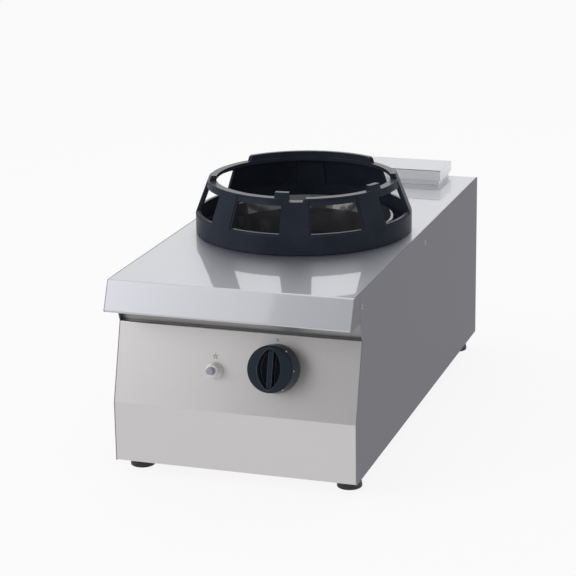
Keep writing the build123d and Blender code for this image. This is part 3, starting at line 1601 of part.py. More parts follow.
# Pilot pipe: from the tap's left outlet to the foot of the pilot burner.
pilot_bend_radius = 14
lead_bend_radius = 12
lead_rise = 45
pilot_start = pilot_out_plane.origin + pilot_out_plane.z_dir * (tap_radius + 1)
pilot_foot = beside_burner(pilot_radius, 0, post_bottom + 10)
with BuildPart() as pilot_pipe:
    with BuildLine() as pilot_line:
        FilletPolyline(
            pilot_start,
            pilot_start - Vector(70, 0, 0),
            Vector(pilot_foot.X, pilot_start.Y + 100, pilot_start.Z + 10),
            Vector(pilot_foot.X, pilot_foot.Y, pilot_start.Z + 20),
            pilot_foot,
            radius=pilot_bend_radius,
        )
    with BuildSketch(Plane(origin=pilot_start, z_dir=pilot_out_plane.z_dir)):
        Circle(pilot_pipe_radius)
    sweep(path=pilot_line.wire())
pilot_pipe.part.label = "pilot_pipe"
export_step(pilot_pipe.part, "parts/pilot_pipe.step")

# Thermocouple lead: from the magnet unit to the probe.
lead_start = knob_plane.origin - knob_plane.z_dir * (magnet_end - lead_socket)
lead_foot = beside_burner(pilot_radius, pilot_spacing, post_bottom + lead_socket)
with BuildPart() as thermocouple_lead:
    with BuildLine() as thermo_line:
        FilletPolyline(
            lead_start,
            lead_start - knob_plane.z_dir * 30,
            Vector(30, -200, lead_start.Z),
            Vector(lead_foot.X, lead_foot.Y - 30, lead_start.Z + 10),
            lead_foot - Vector(0, 0, lead_rise),
            lead_foot,
            radius=lead_bend_radius,
        )
    with BuildSketch(Plane(origin=lead_start, z_dir=-knob_plane.z_dir)):
        Circle(thermo_lead_radius)
    sweep(path=thermo_line.wire())
thermocouple_lead.part.label = "thermocouple_lead"
export_step(thermocouple_lead.part, "parts/thermocouple_lead.step")

# Ignition lead: from the piezo body to the spark electrode.
spark_start = igniter_plane.origin - igniter_plane.z_dir * (igniter_barrel_length - igniter_socket)
spark_foot = beside_burner(pilot_radius, -pilot_spacing, post_bottom + lead_socket)
with BuildPart() as ignition_lead:
    with BuildLine() as spark_line:
        FilletPolyline(
            spark_start,
            spark_start - igniter_plane.z_dir * 40,
            Vector(-100, -240, spark_start.Z),
            Vector(spark_foot.X - 20, spark_foot.Y - 30, spark_start.Z + 10),
            spark_foot - Vector(0, 0, lead_rise),
            spark_foot,
            radius=lead_bend_radius,
        )
    with BuildSketch(Plane(origin=spark_start, z_dir=-igniter_plane.z_dir)):
        Circle(ignition_lead_radius)
    sweep(path=spark_line.wire())
ignition_lead.part.label = "ignition_lead"
export_step(ignition_lead.part, "parts/ignition_lead.step")
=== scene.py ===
import json
import math

import bpy
from mathutils import Matrix, Vector

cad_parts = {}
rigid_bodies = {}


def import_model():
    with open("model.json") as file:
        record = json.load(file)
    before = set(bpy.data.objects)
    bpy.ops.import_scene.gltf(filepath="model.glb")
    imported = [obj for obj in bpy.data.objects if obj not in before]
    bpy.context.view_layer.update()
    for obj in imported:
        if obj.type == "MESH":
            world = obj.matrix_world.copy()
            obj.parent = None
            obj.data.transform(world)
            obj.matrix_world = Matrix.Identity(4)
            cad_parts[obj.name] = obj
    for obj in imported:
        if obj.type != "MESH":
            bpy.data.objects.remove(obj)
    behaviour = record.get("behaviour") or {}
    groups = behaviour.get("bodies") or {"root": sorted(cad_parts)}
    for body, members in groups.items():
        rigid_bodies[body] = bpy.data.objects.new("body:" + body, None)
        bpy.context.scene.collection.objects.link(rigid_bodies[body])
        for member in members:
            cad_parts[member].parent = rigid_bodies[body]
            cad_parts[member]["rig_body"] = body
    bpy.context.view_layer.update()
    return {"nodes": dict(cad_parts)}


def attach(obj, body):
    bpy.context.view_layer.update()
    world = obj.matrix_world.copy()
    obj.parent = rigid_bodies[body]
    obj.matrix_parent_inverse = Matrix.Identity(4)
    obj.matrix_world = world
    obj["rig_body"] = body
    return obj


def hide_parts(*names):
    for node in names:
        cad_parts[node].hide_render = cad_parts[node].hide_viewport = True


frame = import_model()


# ---------------------------------------------------------------- feet
# Four levelling feet: a black moulded pad on a zinc-plated steel stem, screwed up into a hex nut
# that is welded on the base tray. The pad's upper edge is softened by the mould.
weld_distance = 2e-6
flat_angle = math.radians(0.6)
smooth_angle = math.radians(32)


def only(*pieces):
    """Selects these pieces and nothing else."""
    bpy.ops.object.select_all(action="DESELECT")
    for piece in pieces:
        piece.select_set(True)
    bpy.context.view_layer.objects.active = pieces[-1]


def working_copy(node):
    """A copy of a CAD node's mesh, its loose triangles joined into whole faces."""
    piece = bpy.data.objects.new(node + "_finished", frame["nodes"][node].data.copy())
    bpy.context.scene.collection.objects.link(piece)
    only(piece)
    bpy.ops.mesh.customdata_custom_splitnormals_clear()
    bpy.ops.object.mode_set(mode="EDIT")
    bpy.ops.mesh.select_all(action="SELECT")
    bpy.ops.mesh.remove_doubles(threshold=weld_distance)
    bpy.ops.mesh.dissolve_limited(angle_limit=flat_angle)
    bpy.ops.object.mode_set(mode="OBJECT")
    return piece


def break_edges(piece, width, segments=2, angle=smooth_angle, rim=-1):
    """Rounds a piece's sharp edges by a width; rim is the material slot of the rounded faces."""
    only(piece)
    bevel = piece.modifiers.new("broken_edges", "BEVEL")
    bevel.width = width
    bevel.segments = segments
    bevel.limit_method = "ANGLE"
    bevel.angle_limit = angle
    bevel.material = rim
    bevel.use_clamp_overlap = True
    bpy.ops.object.modifier_apply(modifier=bevel.name)
    bpy.ops.object.shade_smooth_by_angle(angle=smooth_angle)
    flat_faces = piece.modifiers.new("flat_faces", "WEIGHTED_NORMAL")
    flat_faces.weight = 100
    flat_faces.keep_sharp = True
    bpy.ops.object.modifier_apply(modifier=flat_faces.name)


def coat_piece(piece, *materials):
    """Gives a piece its materials, the first one on the faces that name no other."""
    piece.data.materials.clear()
    for material in materials:
        piece.data.materials.append(material)


def stand_for(piece, *nodes):
    """Puts a finished piece on its CAD nodes' body, in their place, and hides the nodes."""
    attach(piece, frame["nodes"][nodes[0]]["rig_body"])
    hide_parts(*nodes)


def repaint(material, *nodes):
    """Gives CAD nodes whose shape is right their finished material."""
    for node in nodes:
        for place in frame["nodes"][node].material_slots:
            place.material = material


def add_node(tree, kind, inputs=None, **settings):
    """Adds a shader node, then sets or joins its inputs."""
    made = tree.nodes.new("ShaderNode" + kind)
    for name, value in settings.items():
        setattr(made, name, value)
    for name, value in (inputs or {}).items():
        if isinstance(value, bpy.types.NodeSocket):
            tree.links.new(value, made.inputs[name])
        else:
            made.inputs[name].default_value = value
    return made


def new_material(name, **sockets):
    """A material whose surface shader has these values, named with _ for a space."""
    material = bpy.data.materials.new(name)
    material.use_nodes = True
    surface = material.node_tree.nodes["Principled BSDF"]
    for label, value in sockets.items():
        surface.inputs[label.replace("_", " ")].default_value = value
    return material, material.node_tree, surface


def position_in(tree, shift=(0, 0, 0), stretch=(1, 1, 1)):
    """The place on the piece, shifted and stretched, as a vector."""
    place = add_node(tree, "TexCoord")
    mapping = add_node(
        tree, "Mapping", {"Vector": place.outputs["Object"], "Location": shift, "Scale": stretch}
    )
    return mapping.outputs["Vector"]


def between(tree, mask, low, high):
    """A number that goes from low to high as a mask goes from 0 to 1."""
    spread = add_node(tree, "MapRange", {"Value": mask, "To Min": low, "To Max": high})
    return spread.outputs["Result"]


def two_colours(tree, mask, first, second):
    """A colour that goes from the first to the second as a mask goes from 0 to 1."""
    mixed = add_node(tree, "Mix", {0: mask, 6: first, 7: second}, data_type="RGBA")
    return mixed.outputs[2]


def new_effect(name, inputs, outputs):
    """An empty effect group with named inputs and outputs, and its two end nodes."""
    group = bpy.data.node_groups.new(name, "ShaderNodeTree")
    for label, kind, value in inputs:
        socket = group.interface.new_socket(name=label, in_out="INPUT", socket_type="NodeSocket" + kind)
        socket.default_value = value
    for label, kind in outputs:
        group.interface.new_socket(name=label, in_out="OUTPUT", socket_type="NodeSocket" + kind)
    return group, group.nodes.new("NodeGroupInput"), group.nodes.new("NodeGroupOutput")


# Moulded or cast skin: fine pimples with a slow variation over them.
skin, skin_in, skin_out = new_effect(
    "moulded_skin",
    [("Place", "Vector", (0, 0, 0)), ("Size", "Float", 900.0), ("Depth", "Float", 0.00005)],
    [("Pimples", "Float"), ("Patches", "Float"), ("Normal", "Vector")],
)
pimples = add_node(
    skin, "TexNoise", {"Vector": skin_in.outputs[0], "Scale": skin_in.outputs[1], "Detail": 3.0}
)
patches = add_node(skin, "TexNoise", {"Vector": skin_in.outputs[0], "Scale": 22.0, "Detail": 4.0})
relief = add_node(
    skin, "Bump", {"Height": pimples.outputs["Fac"], "Distance": skin_in.outputs[2], "Strength": 0.8}
)
skin.links.new(pimples.outputs["Fac"], skin_out.inputs[0])
skin.links.new(patches.outputs["Fac"], skin_out.inputs[1])
skin.links.new(relief.outputs["Normal"], skin_out.inputs[2])


def place_effect(tree, group, *values):
    """Places an effect group in a material, its inputs given in order."""
    effect = add_node(tree, "Group", node_tree=group)
    for socket, value in zip(effect.inputs, values):
        if isinstance(value, bpy.types.NodeSocket):
            tree.links.new(value, socket)
        else:
            socket.default_value = value
    return effect.outputs


def moulded_finish(name, pimples, dark, light, varying, **sockets):
    """A cast or moulded surface: its pimples' fineness and depth, and what varies with which mask."""
    material, tree, surface = new_material(name, **sockets)
    effect = place_effect(tree, skin, position_in(tree), *pimples)
    tree.links.new(two_colours(tree, effect["Patches"], dark, light), surface.inputs["Base Color"])
    for socket, (mask, low, high) in varying.items():
        tree.links.new(between(tree, effect[mask], low, high), surface.inputs[socket])
    tree.links.new(effect["Normal"], surface.inputs["Normal"])
    return material


pad_top = 0.022
stem_margin = 0.0003
foot_edge = 0.0009
foot_material, tree, surface = new_material("foot_rubber_and_stem", Roughness=0.5)
skin_effect = place_effect(tree, skin, position_in(tree), 900.0, 0.00006)
height = add_node(tree, "SeparateXYZ", {"Vector": position_in(tree)}).outputs["Z"]
on_stem = add_node(tree, "Math", {0: height, 1: pad_top + stem_margin}, operation="GREATER_THAN").outputs[0]
pad_colour = two_colours(tree, skin_effect["Patches"], (0.012, 0.012, 0.013, 1), (0.028, 0.028, 0.03, 1))
tree.links.new(two_colours(tree, on_stem, pad_colour, (0.55, 0.56, 0.55, 1)), surface.inputs["Base Color"])
tree.links.new(between(tree, on_stem, 0.0, 1.0), surface.inputs["Metallic"])
tree.links.new(between(tree, on_stem, 0.55, 0.33), surface.inputs["Roughness"])
tree.links.new(skin_effect["Normal"], surface.inputs["Normal"])
for node in ("foot_front_left", "foot_front_right", "foot_back_left", "foot_back_right"):
    foot = working_copy(node)
    break_edges(foot, foot_edge, 3)
    coat_piece(foot, foot_material)
    stand_for(foot, node)


# ---------------------------------------------------------------- zinc-plated fixings
# Bought-in steel nuts, bolts, inserts, pipes and brackets with a thin bright zinc coat that has
# clouded a little. They are turned or pressed and then plated.
clouding, clouding_in, clouding_out = new_effect(
    "clouding",
    [("Place", "Vector", (0, 0, 0)), ("Size", "Float", 30.0)],
    [("Cloud", "Float"), ("Smear", "Float")],
)
cloud = add_node(
    clouding,
    "TexNoise",
    {"Vector": clouding_in.outputs[0], "Scale": clouding_in.outputs[1], "Detail": 5.0, "Roughness": 0.6},
)
smear = add_node(
    clouding, "TexNoise", {"Vector": clouding_in.outputs[0], "Scale": 6.0, "Detail": 2.0, "Distortion": 1.2}
)
clouding.links.new(between(clouding, cloud.outputs["Fac"], -0.4, 1.4), clouding_out.inputs[0])
clouding.links.new(between(clouding, smear.outputs["Fac"], -0.4, 1.4), clouding_out.inputs[1])
metal_clouds = 60.0


def plain_metal(name, dark, light, smoothest, roughest):
    """A bare or plated metal whose tone and gloss vary softly over it."""
    material, tree, surface = new_material(name, Metallic=1.0)
    effect = place_effect(tree, clouding, position_in(tree), metal_clouds)
    tree.links.new(two_colours(tree, effect["Cloud"], dark, light), surface.inputs["Base Color"])
    tree.links.new(between(tree, effect["Smear"], smoothest, roughest), surface.inputs["Roughness"])
    return material


def clouded_finish(name, cloud_size, dark, light, **sockets):
    """A smooth surface whose colour goes softly from dark to light over it."""
    material, tree, surface = new_material(name, **sockets)
    effect = place_effect(tree, clouding, position_in(tree), cloud_size)
    tree.links.new(two_colours(tree, effect["Cloud"], dark, light), surface.inputs["Base Color"])
    return material


zinc = plain_metal("zinc_plate", (0.42, 0.43, 0.40, 1), (0.60, 0.60, 0.58, 1), 0.22, 0.42)
repaint(zinc, "joining_inserts", "foot_nuts", "burner_screws", "air_shutter", "pilot_bracket", "spark_wire",
        "tap_screws", "tap_spindle", "thrust_pin", "igniter_nut", "manifold_pipe", "manifold_plug",
        "manifold_saddle", "supply_elbow", "inlet_pipe", "feed_pipe")


# ---------------------------------------------------------------- galvanised sheet
# The base tray, the back panel and the burner bracket are galvanised steel sheet. The zinc has set
# in flat crystals of different brightness, and the cut slots have broken edges.
cut_edge = 0.0002
galvanised, tree, surface = new_material("galvanised_sheet", Metallic=1.0)
crystals = add_node(tree, "TexVoronoi", {"Vector": position_in(tree), "Scale": 110.0, "Randomness": 1.0})
crystal_tone = add_node(tree, "SeparateColor", {"Color": crystals.outputs["Color"]}).outputs[0]
crystal_colour = two_colours(tree, crystal_tone, (0.33, 0.34, 0.35, 1), (0.50, 0.51, 0.52, 1))
tree.links.new(crystal_colour, surface.inputs["Base Color"])
tree.links.new(between(tree, crystal_tone, 0.34, 0.52), surface.inputs["Roughness"])
for node in ("base_tray", "back_panel", "burner_bracket"):
    sheet_piece = working_copy(node)
    break_edges(sheet_piece, cut_edge, 1)
    coat_piece(sheet_piece, galvanised)
    stand_for(sheet_piece, node)


# ---------------------------------------------------------------- back panel screws
# Eight zinc-plated pan-head screws hold the back panel to the rear folds of the sides. Each head
# has a rounded rim and a cross recess.
screw_head_radius = 0.004
screw_head_height = 0.0024
screw_head_rim = 0.0011
screw_shank_radius = 0.002
screw_shank_length = 0.009
back_panel_y = 0.400
screw_x = 0.186
screw_heights = (0.0535, 0.1335, 0.2135, 0.2935)
recess_width = 0.0009
recess_length = 0.0046
recess_depth = 0.0014
first_turn = 25
turn_step = 31


def settle(piece, place):
    """Moves a piece that was shaped at the origin to its place, and makes that its mesh's place."""
    piece.matrix_world = place
    only(piece)
    bpy.ops.object.transform_apply(location=True, rotation=True, scale=True)


def soften_rim(piece, height, width, segments=3):
    """Bevels the edges that lie at a height, on a piece that stands at the origin."""
    only(piece)
    bpy.ops.object.mode_set(mode="EDIT")
    bpy.ops.mesh.select_all(action="DESELECT")
    bpy.ops.object.mode_set(mode="OBJECT")
    for edge in piece.data.edges:
        ends = [piece.data.vertices[index].co for index in edge.vertices]
        edge.select = all(abs(end.z - height) < weld_distance for end in ends)
    bpy.ops.object.mode_set(mode="EDIT")
    bpy.ops.mesh.select_mode(type="EDGE")
    bpy.ops.mesh.bevel(offset=width, segments=segments, affect="EDGES")
    bpy.ops.object.mode_set(mode="OBJECT")


def cut_with(piece, tool):
    """Cuts a tool's shape out of a piece and removes the tool."""
    only(piece)
    cut = piece.modifiers.new("cut", "BOOLEAN")
    cut.operation = "DIFFERENCE"
    cut.solver = "EXACT"
    cut.object = tool
    bpy.ops.object.modifier_apply(modifier=cut.name)
    bpy.data.objects.remove(tool)


def box_piece(size, centre):
    """A block of a size at a place, as a start for shaping."""
    bpy.ops.object.select_all(action="DESELECT")
    bpy.ops.mesh.primitive_cube_add(size=1, location=centre, scale=size)
    bpy.ops.object.transform_apply(location=True, rotation=True, scale=True)
    return bpy.context.object


def round_piece(radius, length, foot, vertices=32):
    """A round bar that stands on a height, as a start for shaping."""
    bpy.ops.object.select_all(action="DESELECT")
    bpy.ops.mesh.primitive_cylinder_add(
        radius=radius, depth=length, vertices=vertices, location=(0, 0, foot + length / 2)
    )
    bpy.ops.object.transform_apply(location=True, rotation=True, scale=True)
    return bpy.context.object


def join(name, *pieces):
    """Joins pieces into one with a name."""
    only(*pieces)
    bpy.ops.object.join()
    joined = bpy.context.object
    joined.name = name
    return joined


screw_head = round_piece(screw_head_radius, screw_head_height, 0)
soften_rim(screw_head, screw_head_height, screw_head_rim)
recess_along = (recess_length, recess_width, 2 * recess_depth)
recess_across = (recess_width, recess_length, 2 * recess_depth)
for recess_size in (recess_along, recess_across):
    cut_with(screw_head, box_piece(recess_size, (0, 0, screw_head_height)))
screw_shank = round_piece(screw_shank_radius, screw_shank_length, -screw_shank_length, 16)
screw = join("screw", screw_shank, screw_head)
bpy.ops.object.shade_smooth_by_angle(angle=smooth_angle)
screws = []
for side in (-1, 1):
    for height_index, screw_z in enumerate(screw_heights):
        copy = screw.copy()
        copy.data = screw.data.copy()
        bpy.context.scene.collection.objects.link(copy)
        turned = Matrix.Rotation(math.radians(first_turn + turn_step * height_index * side), 4, "Z")
        facing_back = Matrix.Rotation(math.radians(-90), 4, "X")
        settle(copy, Matrix.Translation((side * screw_x, back_panel_y, screw_z)) @ facing_back @ turned)
        screws.append(copy)
bpy.data.objects.remove(screw)
back_screws = join("back_panel_screws_finished", *screws)
coat_piece(back_screws, zinc)
stand_for(back_screws, "back_panel_screws")


# ---------------------------------------------------------------- stainless casing
# The worktop with its fascia, the end caps, the control panel with its apron, the front rail and
# the sides are folded from stainless sheet with a fine satin grain along their length.
grain, grain_in, grain_out = new_effect(
    "satin_grain",
    [("Place", "Vector", (0, 0, 0)), ("Along", "Vector", (0, 0, 0)), ("Depth", "Float", 0.00001)],
    [("Lines", "Float"), ("Cloud", "Float"), ("Normal", "Vector")],
)
lines = add_node(
    grain, "TexNoise", {"Vector": grain_in.outputs[1], "Scale": 1.0, "Detail": 4.0, "Roughness": 0.7}
)
sheet_cloud = add_node(grain, "TexNoise", {"Vector": grain_in.outputs[0], "Scale": 3.5, "Detail": 2.0})
sheet_relief = add_node(
    grain, "Bump", {"Height": lines.outputs["Fac"], "Distance": grain_in.outputs[2], "Strength": 0.6}
)
grain.links.new(lines.outputs["Fac"], grain_out.inputs[0])
grain.links.new(between(grain, sheet_cloud.outputs["Fac"], -0.5, 1.5), grain_out.inputs[1])
grain.links.new(sheet_relief.outputs["Normal"], grain_out.inputs[2])

along_x = (12, 900, 900)
along_y = (900, 12, 900)
grain_depth = 0.00001
streak_dark = 0.93
streak_light = 1.05
streak_gloss = 0.05


def satin_steel(name, tone, stretch, broad=0.42, sharp=0.05, polish=2.2, glare=1.0, shine=1.0):
    """Stainless sheet: a broad satin sheen under a thin, sharper reflection."""
    material, tree, surface = new_material(
        name,
        Metallic=1.0,
        Specular_Tint=(glare, glare, glare, 1),
        Coat_Weight=shine,
        Coat_Roughness=sharp,
        Coat_IOR=polish,
    )
    effect = place_effect(tree, grain, position_in(tree), position_in(tree, stretch=stretch), grain_depth)
    darker = tuple(channel * streak_dark for channel in tone) + (1,)
    lighter = tuple(channel * streak_light for channel in tone) + (1,)
    streaks = two_colours(tree, effect["Lines"], darker, lighter)
    clouded = two_colours(tree, effect["Cloud"], streaks, tone + (1,))
    tree.links.new(clouded, surface.inputs["Base Color"])
    gloss = between(tree, effect["Lines"], broad - streak_gloss, broad + streak_gloss)
    tree.links.new(gloss, surface.inputs["Roughness"])
    tree.links.new(effect["Normal"], surface.inputs["Normal"])
    return material


# Each piece's steel tone is set to the light its faces get, as painted light and shade: the control panel a
# lighter copy than the worktop, the front rail a much darker copy in painted shade.
worktop_steel = satin_steel("worktop_steel", (0.50, 0.505, 0.545), along_x, broad=0.46, polish=2.0)
front_steel = satin_steel("front_steel", (0.57, 0.556, 0.557), along_x, sharp=0.14, polish=1.8)
rail_steel_painted_shade = satin_steel("rail_steel_painted_shade", (0.27, 0.262, 0.26), along_x, sharp=0.14, polish=1.6, shine=0.5)
# The sides and their end caps get a darker copy of the steel with a dimmer sheen tint: painted shade.
side_steel_painted_shade = satin_steel(
    "side_steel_painted_shade", (0.235, 0.229, 0.258), along_y, sharp=0.12, polish=1.5, glare=0.45, shine=0.15
)
sheet_edge = 0.0004
side_top_edge = 0.0007
for node, material, edge in (
    ("side_panel_left", side_steel_painted_shade, side_top_edge),
    ("side_panel_right", side_steel_painted_shade, side_top_edge),
    ("fascia_cap_left", side_steel_painted_shade, sheet_edge),
    ("fascia_cap_right", side_steel_painted_shade, sheet_edge),
    ("front_rail", rail_steel_painted_shade, sheet_edge),
    ("control_panel", front_steel, sheet_edge),
    ("worktop", worktop_steel, sheet_edge),
):
    folded = working_copy(node)
    break_edges(folded, edge, 2)
    coat_piece(folded, material)
    stand_for(folded, node)


# ---------------------------------------------------------------- flue box
# A low stainless box at the back of the worktop, over the exhaust slots. Its walls stand on a
# plinth that is set in, and a slotted plate closes the top.
# The flue box's walls and plinth get a much lighter, duller copy of the steel: painted light.
flue_steel_painted_light = satin_steel("flue_steel_painted_light", (0.83, 0.83, 0.84), along_x, broad=0.62, shine=0.0)
for node, material in (
    ("flue_plinth", flue_steel_painted_light),
    ("flue_cover", flue_steel_painted_light),
    ("flue_lid", worktop_steel),
):
    flue_piece = working_copy(node)
    break_edges(flue_piece, sheet_edge, 2)
    coat_piece(flue_piece, material)
    stand_for(flue_piece, node)


# ---------------------------------------------------------------- gas train
# The tap, the injector with its holder, the inlet fitting and the compression nuts are turned
# brass that has dulled a little. The pilot pipe and the probe's lead are copper.
brass = plain_metal("turned_brass", (0.42, 0.28, 0.10, 1), (0.62, 0.45, 0.19, 1), 0.22, 0.40)
copper = plain_metal("drawn_copper", (0.36, 0.15, 0.08, 1), (0.62, 0.31, 0.20, 1), 0.20, 0.40)
repaint(brass, "tap_body", "tap_bonnet", "tap_plug", "magnet_unit", "injector_holder", "injector",
        "inlet_locknut", "pipe_nuts", "pilot_burner", "knob_bush")
repaint(copper, "pilot_pipe", "thermocouple_lead", "thermocouple")

# The gas inlet's free end has a half-inch pipe thread: a sharp ridge wound on a smooth core.
inlet_centre = Vector((-0.150, 0, 0.14745))
thread_foot = 0.4069
thread_start = 0.4080
thread_radius = 0.01048
thread_core = 0.0097
thread_pitch = 0.001814
thread_turns = 5
steps_per_turn = 36
ridge_size = 0.0010
inlet_edge = 0.0004
gas_inlet = working_copy("gas_inlet")
for vertex in gas_inlet.data.vertices:
    from_axis = math.hypot(vertex.co.x - inlet_centre.x, vertex.co.z - inlet_centre.z)
    vertex.select = vertex.co.y > thread_foot and from_axis > thread_core + weld_distance
only(gas_inlet)
bpy.ops.object.mode_set(mode="EDIT")
bpy.ops.mesh.select_mode(type="VERT")
core_share = thread_core / thread_radius
bpy.ops.transform.resize(value=(core_share, 1, core_share), center_override=inlet_centre)
bpy.ops.object.mode_set(mode="OBJECT")
break_edges(gas_inlet, inlet_edge, 2)
bpy.ops.object.select_all(action="DESELECT")
bpy.ops.mesh.primitive_circle_add(
    vertices=3,
    radius=ridge_size,
    location=(thread_radius - ridge_size, 0, 0),
    rotation=(math.radians(90), math.radians(90), 0),
)
ridge = bpy.context.object
bpy.ops.object.transform_apply(location=True, rotation=True, scale=True)
winding = ridge.modifiers.new("winding", "SCREW")
winding.screw_offset = thread_pitch
winding.iterations = thread_turns
winding.steps = steps_per_turn
winding.render_steps = steps_per_turn
bpy.ops.object.modifier_apply(modifier=winding.name)
bpy.ops.object.mode_set(mode="EDIT")
bpy.ops.mesh.select_mode(type="EDGE")
bpy.ops.mesh.select_all(action="DESELECT")
bpy.ops.mesh.select_non_manifold()
bpy.ops.mesh.edge_face_add()
bpy.ops.mesh.select_all(action="SELECT")
bpy.ops.mesh.normals_make_consistent(inside=False)
bpy.ops.object.mode_set(mode="OBJECT")
thread_place = Matrix.Translation(inlet_centre + Vector((0, thread_start, 0)))
settle(ridge, thread_place @ Matrix.Rotation(math.radians(-90), 4, "X"))
threaded_inlet = join("gas_inlet_finished", ridge, gas_inlet)
coat_piece(threaded_inlet, brass)
stand_for(threaded_inlet, "gas_inlet")


# ---------------------------------------------------------------- burner
# A cast-iron chamber with a lift-off crown and cap. The iron is dark from the foundry and
# has taken brown and blue tints where the flames heat it.
burner_centre = (0.0, -0.020)
hot_height = 0.285
tint_wander = 0.014
cold_below = -0.012
hot_above = 0.022
heat, heat_in, heat_out = new_effect(
    "heat_tint",
    [
        ("Place", "Vector", (0, 0, 0)),
        ("Cold", "Color", (0.05, 0.05, 0.05, 1)),
        ("Hot Height", "Float", hot_height),
    ],
    [("Color", "Color")],
)
place_height = add_node(heat, "SeparateXYZ", {"Vector": heat_in.outputs[0]}).outputs["Z"]
below_hot = add_node(heat, "Math", {0: place_height, 1: heat_in.outputs[2]}, operation="SUBTRACT").outputs[0]
patchy = add_node(heat, "TexNoise", {"Vector": heat_in.outputs[0], "Scale": 45.0, "Detail": 4.0})
wandering = add_node(heat, "Math", {0: patchy.outputs["Fac"], 1: tint_wander}, operation="MULTIPLY")
raised = add_node(heat, "Math", {0: below_hot, 1: wandering.outputs[0]}, operation="ADD")
heated = add_node(
    heat, "MapRange", {"Value": raised.outputs[0], "From Min": cold_below, "From Max": hot_above}
).outputs["Result"]
tints = add_node(heat, "ValToRGB", {"Fac": heated})
tints.color_ramp.elements[0].color = (0.045, 0.043, 0.042, 1)
tints.color_ramp.elements[1].color = (0.11, 0.10, 0.09, 1)
for where, colour in ((0.45, (0.10, 0.055, 0.028, 1)), (0.7, (0.05, 0.045, 0.07, 1))):
    tints.color_ramp.elements.new(where).color = colour
heat.links.new(two_colours(heat, heated, heat_in.outputs[1], tints.outputs["Color"]), heat_out.inputs[0])

burner_iron, tree, surface = new_material("burner_iron", Metallic=0.55)
burner_place = position_in(tree)
heat_effect = place_effect(tree, heat, burner_place, (0.05, 0.05, 0.052, 1), hot_height)
iron_skin = place_effect(tree, skin, burner_place, 700.0, 0.00012)
tree.links.new(heat_effect["Color"], surface.inputs["Base Color"])
tree.links.new(between(tree, iron_skin["Pimples"], 0.42, 0.68), surface.inputs["Roughness"])
tree.links.new(iron_skin["Normal"], surface.inputs["Normal"])
repaint(burner_iron, "burner_body", "mixer_tube")
for node, edge in (("burner_crown", 0.0004), ("burner_cap", 0.0008)):
    casting = working_copy(node)
    break_edges(casting, edge, 2)
    coat_piece(casting, burner_iron)
    stand_for(casting, node)


# ---------------------------------------------------------------- pilot group
# A brass pilot, a copper-clad probe and a spark electrode stand beside the burner on a plate. The
# electrode's post is white glazed ceramic, and its lead has a red-brown silicone sleeve.
ceramic = clouded_finish(
    "glazed_ceramic",
    90.0,
    (0.74, 0.71, 0.64, 1),
    (0.84, 0.82, 0.77, 1),
    Roughness=0.14,
    Coat_Weight=0.5,
    Coat_Roughness=0.05,
)
sleeve = clouded_finish(
    "silicone_sleeve", 40.0, (0.22, 0.028, 0.02, 1), (0.34, 0.06, 0.04, 1), Roughness=0.55
)
repaint(ceramic, "spark_ceramic")
repaint(sleeve, "ignition_lead")


# ---------------------------------------------------------------- spill bowl
# A deep dish drawn from thin steel and enamelled glossy black. Its raised rim stands on the worktop
# round the opening; the enamel lies a little unevenly and shows the pressed rings under it.
rings, rings_in, rings_out = new_effect(
    "pressed_rings",
    [("Place", "Vector", (0, 0, 0)), ("Fineness", "Float", 900.0), ("Depth", "Float", 0.00001)],
    [("Normal", "Vector")],
)
flattened = add_node(rings, "VectorMath", {0: rings_in.outputs[0], 1: (1, 1, 0)}, operation="MULTIPLY")
radius_here = add_node(rings, "VectorMath", {0: flattened.outputs[0]}, operation="LENGTH")
fine_radius = add_node(
    rings, "Math", {0: radius_here.outputs["Value"], 1: rings_in.outputs[1]}, operation="MULTIPLY"
)
ring_lines = add_node(
    rings, "TexNoise", {"W": fine_radius.outputs[0], "Scale": 1.0, "Detail": 3.0}, noise_dimensions="1D"
)
ring_relief = add_node(
    rings, "Bump", {"Height": ring_lines.outputs["Fac"], "Distance": rings_in.outputs[2], "Strength": 0.7}
)
rings.links.new(ring_relief.outputs["Normal"], rings_out.inputs[0])

bowl_enamel, tree, surface = new_material("bowl_enamel", Coat_Weight=0.6, Coat_Roughness=0.05)
bowl_place = position_in(tree, shift=(-burner_centre[0], -burner_centre[1], 0))
bowl_rings = place_effect(tree, rings, bowl_place, 160.0, 0.00004)
bowl_flow = place_effect(tree, clouding, bowl_place, 26.0)
tree.links.new(
    two_colours(tree, bowl_flow["Cloud"], (0.024, 0.024, 0.029, 1), (0.046, 0.046, 0.054, 1)),
    surface.inputs["Base Color"],
)
tree.links.new(between(tree, bowl_flow["Smear"], 0.10, 0.22), surface.inputs["Roughness"])
tree.links.new(bowl_rings["Normal"], surface.inputs["Normal"])
bowl_edge = 0.0003
bowl = working_copy("spill_bowl")
break_edges(bowl, bowl_edge, 2)
coat_piece(bowl, bowl_enamel)
stand_for(bowl, "spill_bowl")


# ---------------------------------------------------------------- wok ring
# A heavy cast-iron ring with windows, pan lugs and a raised, closed back, enamelled blue-black.
# The cast edges are rounded; on them, the rim and the sills a lighter enamel is partly rubbed thin by pans,
# partly a painted highlight.
ring_enamel = moulded_finish(
    "ring_enamel",
    (420.0, 0.00010),
    (0.016, 0.020, 0.030, 1),
    (0.034, 0.040, 0.056, 1),
    {"Roughness": ("Pimples", 0.26, 0.40)},
    Specular_IOR_Level=0.02,
    Coat_Weight=0.03,
    Coat_Roughness=0.2,
)
